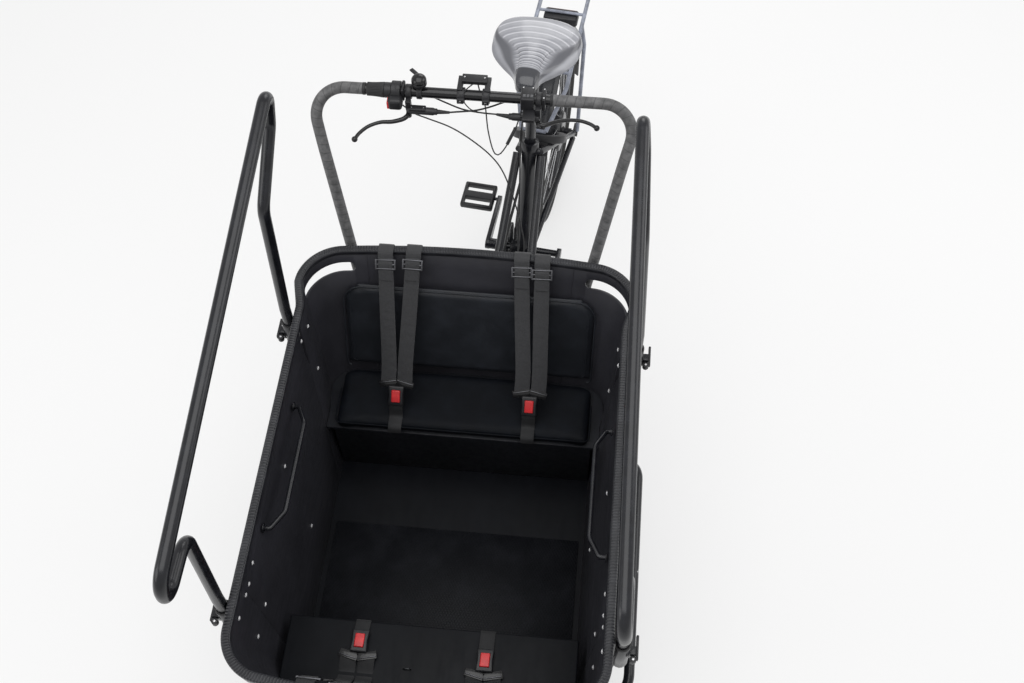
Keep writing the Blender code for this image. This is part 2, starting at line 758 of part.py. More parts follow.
def make_quick_release(name, side, y):
    """A cam lever that turns about an upright pin in front of its ear."""
    ear_x = HOOP_X + HOLDER_RADIUS + EAR_REACH - 0.001
    pivot = Vector((side * (ear_x - 0.005), y - EAR_WIDTH / 2 - FIT - LEVER_CAM_RADIUS, EAR_Z))
    low = EAR_Z - LEVER_HEIGHT / 2
    high = EAR_Z + LEVER_HEIGHT / 2
    cam = rod((pivot.x, pivot.y, low), (pivot.x, pivot.y, high), LEVER_CAM_RADIUS, 12)
    near, far = sorted((side * (ear_x + 0.0006), side * (ear_x + 0.0006 + LEVER_THICKNESS)))
    arm = block((near, pivot.y, low + 0.001), (far, pivot.y + LEVER_LENGTH, high - 0.001), 0.0012, 1)
    finish(join(cam, arm), name, black_plastic, origin=pivot)


def make_hoop(name, side):
    """One rain-cover hoop: two upright legs joined over a long top with a hairpin in front."""
    def leaning(y, z):
        share = max(0.0, z - HOOP_LEAN_START) / (HOOP_APEX_Z - HOOP_LEAN_START)
        return Vector((side * (HOOP_X - HOOP_LEAN * share ** 1.6), y, z))
    corners = [leaning(HOOP_FRONT_Y, HOOP_BOTTOM), leaning(HOOP_FRONT_Y, HOOP_LEAN_START),
               leaning(HOOP_FRONT_Y, HOOP_NOSE_LOW_Z), leaning(HOOP_NOSE_Y, HOOP_NOSE_LOW_Z + 0.004),
               leaning(HOOP_NOSE_Y, HOOP_NOSE_HIGH_Z), leaning(HOOP_APEX_Y, HOOP_APEX_Z),
               leaning(HOOP_KNEE_Y, HOOP_KNEE_HIGH_Z), leaning(HOOP_REAR_Y, HOOP_KNEE_LOW_Z),
               leaning(HOOP_REAR_Y, HOOP_LEAN_START), leaning(HOOP_REAR_Y, HOOP_BOTTOM)]
    finish(tube(rounded(corners, HOOP_BENDS, 4), HOOP_RADIUS), name, black_paint,
           origin=corners[0], smooth=50)


def rear_edge(z, air):
    """Points of the box's inside round the rear, from the -X side to the +X side."""
    loop = inner_loop_at(z, air)
    return [loop[i % LAST] for i in range(LAST - SIDE_REAR + 1, LAST + SIDE_REAR)]


def make_rear_seat():
    """The bench across the rear of the box, closed in front, with its cushion."""
    low = SEAT_TOP - SEAT_BOARD
    outlines = []
    for z in (low, SEAT_TOP):
        points = rear_edge(z, WALL_AIR)
        side_x = wall_x(z) - WALL_AIR
        outlines.append([(-side_x, SEAT_FRONT_Y)] + points + [(side_x, SEAT_FRONT_Y)])
    board = loft([[(x, y, z) for x, y in outline]
                  for outline, z in zip(outlines, (low, SEAT_TOP))])
    foot = PANEL_BOTTOM + FLOOR_THICKNESS + FIT
    panel_x = wall_x(foot) - 0.002
    panel = block((-panel_x, SEAT_FRONT_Y, foot),
                  (panel_x, SEAT_FRONT_Y + 0.010, low + 0.004))
    finish(join(board, panel), "rear_seat_bench", black_board)

    half = wall_x(SEAT_TOP) - SEAT_CUSHION_AIR
    cushion = block((-half, SEAT_CUSHION_FRONT_Y, SEAT_TOP + FIT),
                    (half, SEAT_CUSHION_REAR_Y, SEAT_TOP + FIT + SEAT_CUSHION_HEIGHT), 0.010, 3)
    finish(cushion, "seat_cushion", black_cushion)


def make_back_cushion():
    """The backrest, which leans with the rear panel in front of its bow."""
    top_y = inner_top[SLOT_START + 1][1]
    low_y = inner_floor[SLOT_START + 1][1]
    lean = (low_y - top_y) / (PANEL_TOP - PANEL_BOTTOM)
    low = SEAT_TOP + SEAT_CUSHION_HEIGHT + 2 * FIT
    wide = wall_x(SEAT_TOP) - BACK_CUSHION_AIR
    corner = BACK_CUSHION_CORNER
    outline = [(-wide, low), (wide, low)]
    for i in range(6):
        angle = math.pi / 2 * i / 5
        outline.append((wide - corner + corner * math.cos(angle),
                        BACK_CUSHION_TOP - corner + corner * math.sin(angle)))
    outline += [(-x, z) for x, z in reversed(outline[2:])]
    middle_z = (BACK_CUSHION_TOP + low) / 2
    rings = []
    for depth, shrink in ((0.0, 0.026), (0.45, 0.0), (0.75, 0.001), (1.0, 0.012)):
        scale_x = 1 - shrink / wide
        scale_z = 1 - shrink / (BACK_CUSHION_TOP - middle_z)
        line = []
        for x, z in outline:
            height = middle_z + (z - middle_z) * scale_z
            y = top_y + (PANEL_TOP - height) * lean - 2 * FIT - BACK_CUSHION_THICKNESS * depth
            line.append((x * scale_x, y, height))
        rings.append(line)
    finish(loft(rings), "back_cushion", black_cushion)


def make_front_bench():
    """The board across the front of the box, with a lip along its rear edge."""
    half = wall_x(BENCH_TOP) - BENCH_AIR
    rings = []
    for z in (BENCH_TOP - BENCH_BOARD, BENCH_TOP):
        loop = inner_loop_at(z, WALL_AIR)
        points = [loop[i] for i in range(SIDE_FRONT + 1, LAST - SIDE_FRONT)]
        line = [(max(-half, min(half, x)), y, z) for x, y in points]
        rings.append([(half, BENCH_REAR_Y, z)] + line + [(-half, BENCH_REAR_Y, z)])
    lip = block((-half, BENCH_REAR_Y - 0.010, BENCH_TOP - BENCH_LIP),
                (half, BENCH_REAR_Y, BENCH_TOP - 0.004))
    finish(join(loft(rings), lip), "front_bench", black_board)


def make_grab_rail(name, side):
    ends = [(GRAB_FRONT_Y, GRAB_FRONT_END_Z), (GRAB_REAR_Y, GRAB_REAR_END_Z)]
    points = []
    for y, z in ends:
        points.append((side * (wall_x(z) - 2 * FIT), y, z))
        points.append((side * GRAB_ROOT_X, y, z))
    front, front_bend, rear, rear_bend = points
    corners = [front, front_bend, (side * GRAB_X, GRAB_FRONT_Y + 0.045, GRAB_Z),
               (side * GRAB_X, GRAB_REAR_Y - 0.048, GRAB_Z), rear_bend, rear]
    rail = tube(rounded(corners, GRAB_BENDS, 3), GRAB_RADIUS, 8)
    finish(rail, name, black_paint)


def ribbon(points):
    """A flat strap whose middle follows points, with its width across the box."""
    side = Vector((BELT_WEB_WIDTH / 2, 0.0, 0.0))
    rings = []
    knots = [Vector(point) for point in points]
    for i, knot in enumerate(knots):
        ahead = knots[min(i + 1, len(knots) - 1)] - knots[max(i - 1, 0)]
        normal = ahead.cross(side).normalized() * BELT_WEB_THICKNESS / 2
        rings.append([knot - side - normal, knot + side - normal, knot + side + normal,
                      knot - side + normal])
    return loft(rings)


def make_harness(end, side, centre, direction, places, rim, foot):
    """Two shoulder straps from over the rim, a buckle with a push button, and a foot strap."""
    name = end + ("_left" if side > 0 else "_right")
    centre = Vector(centre)
    along = Vector(direction).normalized()
    across = Vector((1.0, 0.0, 0.0))
    facing = across.cross(along)
    if facing.z < 0:
        facing = -facing
        across = -across
    frame = Matrix((across, along, facing)).transposed().to_4x4()
    frame.translation = centre
    half = BUCKLE_HEIGHT / 2
    shoulder = -BUCKLE_LENGTH / 2 - 0.006
    tongue = block((-TONGUE_WIDTH / 2, shoulder - 0.009, -TONGUE_THICKNESS / 2),
                   (TONGUE_WIDTH / 2, shoulder + 0.009, TONGUE_THICKNESS / 2))
    housing = block((-BUCKLE_WIDTH / 2, -BUCKLE_LENGTH / 2, -half),
                    (BUCKLE_WIDTH / 2, BUCKLE_LENGTH / 2, half), 0.004, 1)
    floor = half - BUTTON_HEIGHT + BUTTON_PROUD - BUTTON_TRAVEL - FIT
    pocket = block((-BUTTON_WIDTH / 2 - FIT, -BUTTON_LENGTH / 2 - FIT, floor),
                   (BUTTON_WIDTH / 2 + FIT, BUTTON_LENGTH / 2 + FIT, half + 0.01))
    button = block((-BUTTON_WIDTH / 2, -BUTTON_LENGTH / 2, half - BUTTON_HEIGHT + BUTTON_PROUD),
                   (BUTTON_WIDTH / 2, BUTTON_LENGTH / 2, half + BUTTON_PROUD), 0.0015, 1)
    for piece in (tongue, housing, pocket, button):
        piece.data.transform(frame)
    join(housing, tongue)
    rise = BELT_WEB_THICKNESS / 2 + FIT
    out = -1 if direction[1] > 0 else 1
    for x in places:
        edges = [rim_y(x + step, rim) * out for step in (-BELT_WEB_WIDTH / 2, BELT_WEB_WIDTH / 2)]
        outer = (max(edges) + rise) * out
        inner = (min(edges) - RIM_WIDTH - BELT_OVERHANG) * out
        near = centre.x + math.copysign(BELT_WEB_WIDTH / 2 + 0.002, x - centre.x)
        end_point = centre + along * shoulder
        join(housing, ribbon([(x, outer, BELT_END_Z), (x, outer, RIM_TOP - 0.001),
                              (x, outer - 0.004 * out, RIM_TOP + rise + 0.0012),
                              (x, inner, RIM_TOP + rise + 0.0012),
                              tuple(Vector((near, end_point.y, end_point.z)) - along * 0.060),
                              (near, end_point.y, end_point.z)]))
    join(housing, ribbon([tuple(centre + along * 0.018)] + foot))
    cut(housing, pocket)
    finish(housing, "harness_" + name, web_black)
    finish(button, "buckle_button_" + name, button_red, origin=centre + facing * half)


def make_harnesses():
    rise = BELT_WEB_THICKNESS / 2 + FIT
    seat_z = SEAT_TOP + FIT + SEAT_CUSHION_HEIGHT + rise
    rear_rim = rim_loop[:SLOT_START + 2]
    for side, centre_x, places in ((1, REAR_BUCKLE_LEFT_X, REAR_STRAPS_LEFT),
                                   (-1, REAR_BUCKLE_RIGHT_X, REAR_STRAPS_RIGHT)):
        centre = Vector((centre_x, REAR_BUCKLE_Y, REAR_BUCKLE_Z))
        lean = Vector(REAR_BUCKLE_LEAN)
        foot = [tuple(centre + lean * 0.034), (centre_x, -0.318, seat_z + 0.002),
                (centre_x, -0.336, seat_z)]
        make_harness("rear", side, centre, lean, places, rear_rim, foot)
    front_rim = [rim_loop[i] for i in range(LAST // 2 - 3, LAST // 2 + 1)]
    bench = BENCH_TOP + rise
    edge = BENCH_REAR_Y + rise
    for side, (x, y), places in ((1, FRONT_BUCKLE_LEFT, FRONT_STRAPS_LEFT),
                                 (-1, FRONT_BUCKLE_RIGHT, FRONT_STRAPS_RIGHT)):
        centre = (x, y, BENCH_TOP + FIT + BUCKLE_HEIGHT / 2)
        foot = [(x, edge - 0.003, bench + 0.0022), (x, edge, BENCH_TOP + 0.0015),
                (x, edge, BENCH_TOP - BENCH_LIP)]
        make_harness("front", side, centre, (0.0, 1.0, 0.0), places, front_rim, foot)


def make_handlebar():
    """The push bar: a crossbar whose ends bend down behind the box to the under-frame."""
    start = FOOT_PLATE_TOP + FIT + BAR_RADIUS * 0.43
    half = [Vector((BAR_FOOT_X, BAR_FOOT_Y, start)), Vector((BAR_RIM_X, BAR_RIM_Y, BAR_RIM_Z)),
            Vector((BAR_KINK_X, BAR_KINK_Y, BAR_KINK_Z)), Vector((BAR_CORNER_X, BAR_Y, BAR_Z))]
    corners = mirrored(half) + list(reversed(half))
    bends = (BAR_RIM_BEND, BAR_KINK_BEND, BAR_BEND_RADIUS)
    bar = tube(rounded(corners, bends + tuple(reversed(bends)), 4), BAR_RADIUS, 12)
    finish(bar, "handlebar", bar_tape, smooth=50)


def bar_clamp(x, width, wall=CLAMP_WALL):
    hole = bore_radius(BAR_RADIUS, 16, 0.0002)
    return ring(-width / 2, width / 2, hole, BAR_RADIUS + wall, 16, at_x(x, BAR_Y, BAR_Z))


def make_display_mount():
    """A bracket plate on two clamps in the middle of the crossbar."""
    mount = bar_clamp(-0.028, 0.012)
    top = BAR_Z + BAR_RADIUS + CLAMP_WALL
    plate = block((-DISPLAY_HALF_WIDTH, BAR_Y - 0.004, top - 0.002),
                  (DISPLAY_HALF_WIDTH, BAR_Y - 0.004 + DISPLAY_DEPTH, top + 0.004), 0.0015, 1)
    join(mount, bar_clamp(0.028, 0.012), plate)
    for x in (-0.017, 0.017):
        window = block((x - 0.011, BAR_Y + 0.012, top - 0.01), (x + 0.011, BAR_Y + 0.032, top + 0.02))
        cut(mount, window)
    finish(mount, "display_bracket", black_plastic)


def make_shifter():
    """A ribbed twist grip that turns on the bar."""
    hole = bore_radius(BAR_RADIUS, 16, 0.0002)
    length = SHIFTER_OUTER_X - SHIFTER_INNER_X
    count = SHIFTER_RIBS * 2
    outline = []
    for i in range(count):
        radius = SHIFTER_RADIUS if i % 2 else SHIFTER_RADIUS - 0.0012
        angle = math.tau * i / count
        outline.append((radius * math.cos(angle), radius * math.sin(angle)))
    grip = prism(outline, 0.0, length)
    core = rod((0.0, 0.0, -0.01), (0.0, 0.0, length + 0.01), hole, 16)
    cut(grip, core)
    grip.data.transform(at_x(-SHIFTER_OUTER_X, BAR_Y, BAR_Z))
    finish(grip, "twist_shifter", black_rubber, origin=(-SHIFTER_OUTER_X, BAR_Y, BAR_Z))


def make_brake(name, side, tip, bulge):
    """A brake perch on the bar and its lever, which turns about an upright pivot."""
    perch = bar_clamp(side * PERCH_X, 0.014)
    link = block((side * PERCH_X - 0.006, PERCH_BODY_Y - 0.002, PERCH_BODY_Z - 0.002),
                 (side * PERCH_X + 0.006, BAR_Y - BAR_RADIUS - 0.001, BAR_Z - 0.006))
    cylinder = rod((side * PERCH_INNER_X, PERCH_BODY_Y, PERCH_BODY_Z),
                   (side * (PERCH_X + 0.004), PERCH_BODY_Y, PERCH_BODY_Z), PERCH_BODY_RADIUS, 12)
    join(perch, link, cylinder)
    finish(perch, "brake_perch_" + name, black_plastic)

    top = PERCH_BODY_Z - PERCH_BODY_RADIUS - FIT
    pivot = Vector((side * PERCH_X, LEVER_PIVOT_Y, top - LEVER_BARREL_HEIGHT / 2))
    barrel = rod((pivot.x, pivot.y, top - LEVER_BARREL_HEIGHT), (pivot.x, pivot.y, top),
                 LEVER_BARREL_RADIUS, 12)
    start = pivot.copy()
    middle = (start + Vector(tip)) / 2 + Vector((0.0, bulge, 0.0))
    path = []
    for i in range(9):
        t = i / 8
        path.append(start * (1 - t) ** 2 + middle * 2 * t * (1 - t) + Vector(tip) * t ** 2)
    swell = [1.1, 1.1, 1.0, 1.0, 0.95, 0.95, 1.0, 1.35, 1.5]
    blade = tube(path, BLADE_RADIUS, 8, swell)
    finish(join(barrel, blade), "brake_lever_" + name, black_paint, origin=pivot, smooth=50)


def make_bell():
    """A clamp-on bell: a low drum under a dome, with a thumb tab at its side."""
    bell = bar_clamp(-BELL_X, 0.012, 0.004)
    base = BAR_Z + BAR_RADIUS
    place = Matrix.Translation((-BELL_X, BAR_Y + 0.004, 0.0))
    profile = [(0.0, base + 0.001), (0.006, base + 0.001), (0.006, base + 0.008),
               (BELL_RADIUS, base + 0.010), (BELL_RADIUS, base + 0.022)]
    for i in range(1, 5):
        angle = math.pi / 2 * i / 4
        profile.append((BELL_RADIUS * math.cos(angle), base + 0.022 + 0.013 * math.sin(angle)))
    profile[-1] = (0.0, base + 0.035)
    drum = lathe(profile, 16, place, closed=False)
    tab = block((-BELL_X - 0.032, BAR_Y - 0.002, base + 0.011),
                (-BELL_X - 0.012, BAR_Y + 0.008, base + 0.016), 0.0015, 1)
    finish(join(bell, drum, tab), "bell", black_paint)


def make_cables():
    """Control cables from both brake perches and the shifter, tied and led down the box."""
    start_right = (-PERCH_INNER_X + FIT + 0.0001, PERCH_BODY_Y, PERCH_BODY_Z)
    start_left = (PERCH_INNER_X - FIT - 0.0001, PERCH_BODY_Y, PERCH_BODY_Z)
    knot = (0.050, 0.196, 0.960)
    trunk = [knot, (0.052, 0.216, 0.860), (0.066, 0.222, 0.760), (0.084, 0.205, 0.660),
             (0.094, 0.150, 0.540), (0.100, 0.060, 0.420), (0.102, -0.060, 0.300),
             (0.102, -0.165, 0.225), (0.102, -0.2135, 0.1935)]
    right = [start_right, (-0.040, 0.151, 1.066), (0.000, 0.158, 1.050), (0.034, 0.176, 1.012), knot]
    left = [start_left, (0.060, 0.150, 1.067), (0.044, 0.158, 1.050), (0.044, 0.176, 1.010), knot]
    shift = [(-SHIFTER_INNER_X + 0.001, BAR_Y + 0.0155, BAR_Z), (-0.176, BAR_Y + 0.0155, BAR_Z),
             (-0.120, BAR_Y + 0.027, 1.098), (-0.040, BAR_Y + 0.030, 1.078),
             (0.020, BAR_Y + 0.026, 1.040), knot]
    cables = tube(smooth_path(trunk, 3), CABLE_RADIUS * 1.3, 6)
    for route in (right, left, shift):
        join(cables, tube(smooth_path(route, 3), CABLE_RADIUS, 6))
    join(cables, rod((0.049, 0.190, 0.984), (0.0505, 0.203, 0.926), 0.0058, 10))
    finish(cables, "control_cables", black_rubber, smooth=50)


def smooth_path(points, steps):
    """A curve through its points."""
    knots = [Vector(point) for point in points]
    padded = [2 * knots[0] - knots[1]] + knots + [2 * knots[-1] - knots[-2]]
    path = []
    for a, b, c, d in zip(padded, padded[1:], padded[2:], padded[3:]):
        for i in range(steps):
            t = i / steps
            path.append(0.5 * (2 * b + (c - a) * t + (2 * a - 5 * b + 4 * c - d) * t ** 2
                               + (3 * b - a - 3 * c + d) * t ** 3))
    path.append(knots[-1])
    return path


def make_chassis():
    """Rails and cross tubes under the floor, hub plates with axles, and the kingpin."""
    chassis = rod((RAIL_X, CROSS_FRONT_Y, RAIL_Z), (RAIL_X, CROSS_REAR_Y, RAIL_Z), RAIL_RADIUS)
    beam_z = RAIL_Z + RAIL_RADIUS - 0.0025 - AXLE_BEAM_RADIUS
    other = rod((-RAIL_X, CROSS_FRONT_Y, RAIL_Z), (-RAIL_X, CROSS_REAR_Y, RAIL_Z), RAIL_RADIUS)
    cross_rear = rod((-CROSS_REAR_HALF, CROSS_REAR_Y, RAIL_Z),
                     (CROSS_REAR_HALF, CROSS_REAR_Y, RAIL_Z), CROSS_RADIUS)
    cross_front = rod((-CROSS_FRONT_HALF, CROSS_FRONT_Y, RAIL_Z),
                      (CROSS_FRONT_HALF, CROSS_FRONT_Y, RAIL_Z), CROSS_RADIUS)
    axle_beam = rod((-HUB_PLATE_X, FRONT_AXLE_Y, beam_z), (HUB_PLATE_X, FRONT_AXLE_Y, beam_z),
                    AXLE_BEAM_RADIUS, 16)
    join(chassis, cross_rear, cross_front, other, axle_beam)
    head = block((-HEAD_BLOCK_HALF_WIDTH, FRONT_AXLE_Y - 0.015, HEAD_BLOCK_BOTTOM),
                 (HEAD_BLOCK_HALF_WIDTH, KINGPIN_Y + 0.040, HEAD_BLOCK_TOP), 0.003, 1)
    low = HEAD_BOTTOM - FIT
    high = HEAD_TOP + FIT
    pin_profile = [(0.0, low - KINGPIN_FLANGE), (KINGPIN_FLANGE_RADIUS, low - KINGPIN_FLANGE),
                   (KINGPIN_FLANGE_RADIUS, low), (KINGPIN_RADIUS, low), (KINGPIN_RADIUS, high),
                   (KINGPIN_FLANGE_RADIUS, high), (KINGPIN_FLANGE_RADIUS, high + KINGPIN_FLANGE),
                   (0.0, high + KINGPIN_FLANGE)]
    pin = lathe(pin_profile, 16, Matrix.Translation(KINGPIN), closed=False)
    join(chassis, head, pin)
    collar_end = FRONT_WHEEL_X - FRONT_HUB_HALF - FIT
    axle_end = GUARD_X - GUARD_RADIUS - FIT
    profile = [(0.0, HUB_PLATE_X), (AXLE_COLLAR_RADIUS, HUB_PLATE_X),
               (AXLE_COLLAR_RADIUS, collar_end), (AXLE_RADIUS, collar_end),
               (AXLE_RADIUS, axle_end), (0.0, axle_end)]
    for side, _ in SIDES:
        near, far = sorted((side * (HUB_PLATE_X - HUB_PLATE_THICKNESS / 2),
                            side * (HUB_PLATE_X + HUB_PLATE_THICKNESS / 2)))
        plate = block((near, FRONT_AXLE_Y - HUB_PLATE_WIDTH / 2, HUB_PLATE_BOTTOM),
                      (far, FRONT_AXLE_Y + HUB_PLATE_WIDTH / 2, HUB_PLATE_TOP))
        axle = lathe(profile, 16, at_x(0.0, FRONT_AXLE_Y, FRONT_WHEEL_RADIUS, side), closed=False)
        middle = side * BAR_FOOT_X
        foot = block((middle - FOOT_PLATE_HALF_WIDTH, FOOT_PLATE_FRONT_Y, FOOT_PLATE_BOTTOM),
                     (middle + FOOT_PLATE_HALF_WIDTH, FOOT_PLATE_REAR_Y, FOOT_PLATE_TOP))
        join(chassis, plate, axle, foot)
    finish(chassis, "under_frame", black_paint)


def make_wheel_guard(name, side):
    """A tube round the outside of a front wheel, from rail to rail."""
    root_x = RAIL_X + RAIL_RADIUS + FIT
    half = [(root_x, RAIL_Z), (GUARD_KINK_X, RAIL_Z), (GUARD_X, FRONT_WHEEL_RADIUS)]
    corners = [(side * x, GUARD_REAR_Y, z) for x, z in half]
    corners += [(side * x, GUARD_FRONT_Y, z) for x, z in reversed(half)]
    guard = tube(rounded(corners, GUARD_BENDS, 4), GUARD_RADIUS)
    finish(guard, "wheel_guard_" + name, black_paint, smooth=50)


def make_wheel(name, parent, centre, radius, hub_profile, flange, flange_radius):
    """A spoked wheel and its tyre. The wheel's axis lies along X."""
    tyre_half = TYRE_WIDTH / 2
    seat = radius - TYRE_WIDTH
    bed = seat - FIT
    place = at_x(*centre)
    steps = 28
    rim = lathe([(bed - RIM_BED_DEPTH * 0.5, -RIM_BED_WIDTH / 2), (bed, -RIM_BED_WIDTH / 2),
                 (bed, RIM_BED_WIDTH / 2), (bed - RIM_BED_DEPTH * 0.5, RIM_BED_WIDTH / 2),
                 (bed - RIM_BED_DEPTH, RIM_BED_WIDTH * 0.25),
                 (bed - RIM_BED_DEPTH, -RIM_BED_WIDTH * 0.25)], steps, place)
    wheel = lathe(hub_profile, 16, place)
    join(wheel, rim)
    bm = bmesh.new()
    for side in (1, -1):
        for i in range(SPOKES_PER_SIDE):
            share = i + (0.5 if side > 0 else 0.0)
            angle = math.tau * share / SPOKES_PER_SIDE
            lead = angle + side * math.radians(24)
            low = Vector((side * flange, flange_radius * math.cos(angle),
                          flange_radius * math.sin(angle)))
            reach = bed - RIM_BED_DEPTH * 0.7
            high = Vector((side * 0.003, reach * math.cos(lead), reach * math.sin(lead)))
            turn = between(low, high)
            length = (high - low).length
            made = bmesh.ops.create_cone(bm, cap_ends=True, segments=4, radius1=SPOKE_RADIUS,
                                         radius2=SPOKE_RADIUS, depth=length)
            bmesh.ops.transform(bm, verts=made["verts"],
                                matrix=turn @ Matrix.Translation((0, 0, length / 2)))
    bmesh.ops.translate(bm, verts=bm.verts, vec=Vector(centre))
    join(wheel, body(bm))
    finish(wheel, name + "_wheel", black_paint, parent, centre, 50)

    tread = []
    for i in range(9):
        angle = math.radians(-52 + 284 * i / 8)
        tread.append((radius - tyre_half + tyre_half * math.sin(angle), tyre_half * math.cos(angle)))
    tread[0] = (seat, RIM_BED_WIDTH / 2 - 0.001)
    tread[-1] = (seat, -RIM_BED_WIDTH / 2 + 0.001)
    tyre = lathe(tread, steps, place)
    finish(tyre, name + "_tyre", tyre_rubber, parent, centre, 50)


def make_front_wheels():
    hole = bore_radius(AXLE_RADIUS, 16)
    half = FRONT_HUB_HALF
    hub = [(hole, -half), (0.012, -half), (0.014, -0.030), (0.028, -0.028), (0.028, -0.024),
           (0.014, -0.020), (0.014, 0.020), (0.028, 0.024), (0.028, 0.028), (0.014, 0.030),
           (0.012, half), (hole, half)]
    for side, name in SIDES:
        centre = (side * FRONT_WHEEL_X, FRONT_AXLE_Y, FRONT_WHEEL_RADIUS)
        make_wheel("front_" + name, front_half, centre, FRONT_WHEEL_RADIUS, hub, 0.026, 0.025)


def make_rear_wheel():
    """The driven wheel: a motor drum in its hub and a belt pulley on the right."""
    hole = bore_radius(AXLE_RADIUS, 16)
    half = REAR_HUB_HALF
    pulley = REAR_PULLEY_RADIUS - FIT
    belt_low = -BELT_X - BELT_WIDTH / 2
    belt_high = -BELT_X + BELT_WIDTH / 2
    motor = MOTOR_HALF
    hub = [(hole, -half), (0.013, -half), (0.013, belt_low), (pulley, belt_low),
           (pulley, belt_high), (0.018, belt_high), (0.018, -motor),
           (MOTOR_RADIUS - 0.006, -motor), (MOTOR_RADIUS, -motor + 0.006),
           (MOTOR_RADIUS, motor - 0.006), (MOTOR_RADIUS - 0.006, motor), (0.018, motor),
           (0.013, half), (hole, half)]
    centre = (0.0, REAR_AXLE_Y, REAR_WHEEL_RADIUS)
    make_wheel("rear", rear_half, centre, REAR_WHEEL_RADIUS, hub, motor - 0.010, MOTOR_RADIUS - 0.002)


def twin_point(share, lift=0.0, side=0.0):
    """A point between the twin tubes, by its share of their length and its lift off them."""
    top_y = CRANK_Y + (TWIN_TOP_Z - CRANK_Z) * SEAT_DIRECTION.y / SEAT_DIRECTION.z
    low = Vector((0.0, TWIN_LOW_Y, TWIN_LOW_Z))
    top = Vector((0.0, top_y, TWIN_TOP_Z))
    along = (top - low).normalized()
    normal = Vector((1.0, 0.0, 0.0)).cross(along)
    x = side * (TWIN_LOW_X + (TWIN_TOP_X - TWIN_LOW_X) * share)
    return low + (top - low) * share + normal * lift + Vector((x, 0.0, 0.0))


def slab(start, end, half_width, low, high, bevel=0.0):
    """A box that lies along the twin tubes, between two shares of their length."""
    origin = twin_point(start)
    along = twin_point(end) - origin
    across = Vector((1.0, 0.0, 0.0))
    up = across.cross(along).normalized()
    box = block((-half_width, 0.0, low), (half_width, along.length, high), bevel)
    frame = Matrix((across, along.normalized(), up)).transposed().to_4x4()
    frame.translation = origin
    box.data.transform(frame)
    return box


def seat_stay_point(share, side):
    """A point down a seat stay, from the seat tube towards the axle."""
    top_y = CRANK_Y + (STAY_TOP_Z - CRANK_Z) * SEAT_DIRECTION.y / SEAT_DIRECTION.z
    start = Vector((side * SEAT_STAY_TOP_X, top_y, STAY_TOP_Z))
    end = Vector((side * (DROPOUT_X - 0.001), REAR_AXLE_Y - 0.012, REAR_WHEEL_RADIUS + 0.014))
    return start + (end - start) * share


def seat_stay_at(reach, side):
    """The point of a seat stay that is a given distance from the rear axle's line."""
    axle = Vector((0.0, REAR_AXLE_Y, REAR_WHEEL_RADIUS))
    low, high = 0.0, 1.0
    for _ in range(30):
        share = (low + high) / 2
        point = seat_stay_point(share, side)
        if (point - axle).yz.length > reach:
            low = share
        else:
            high = share
    return point


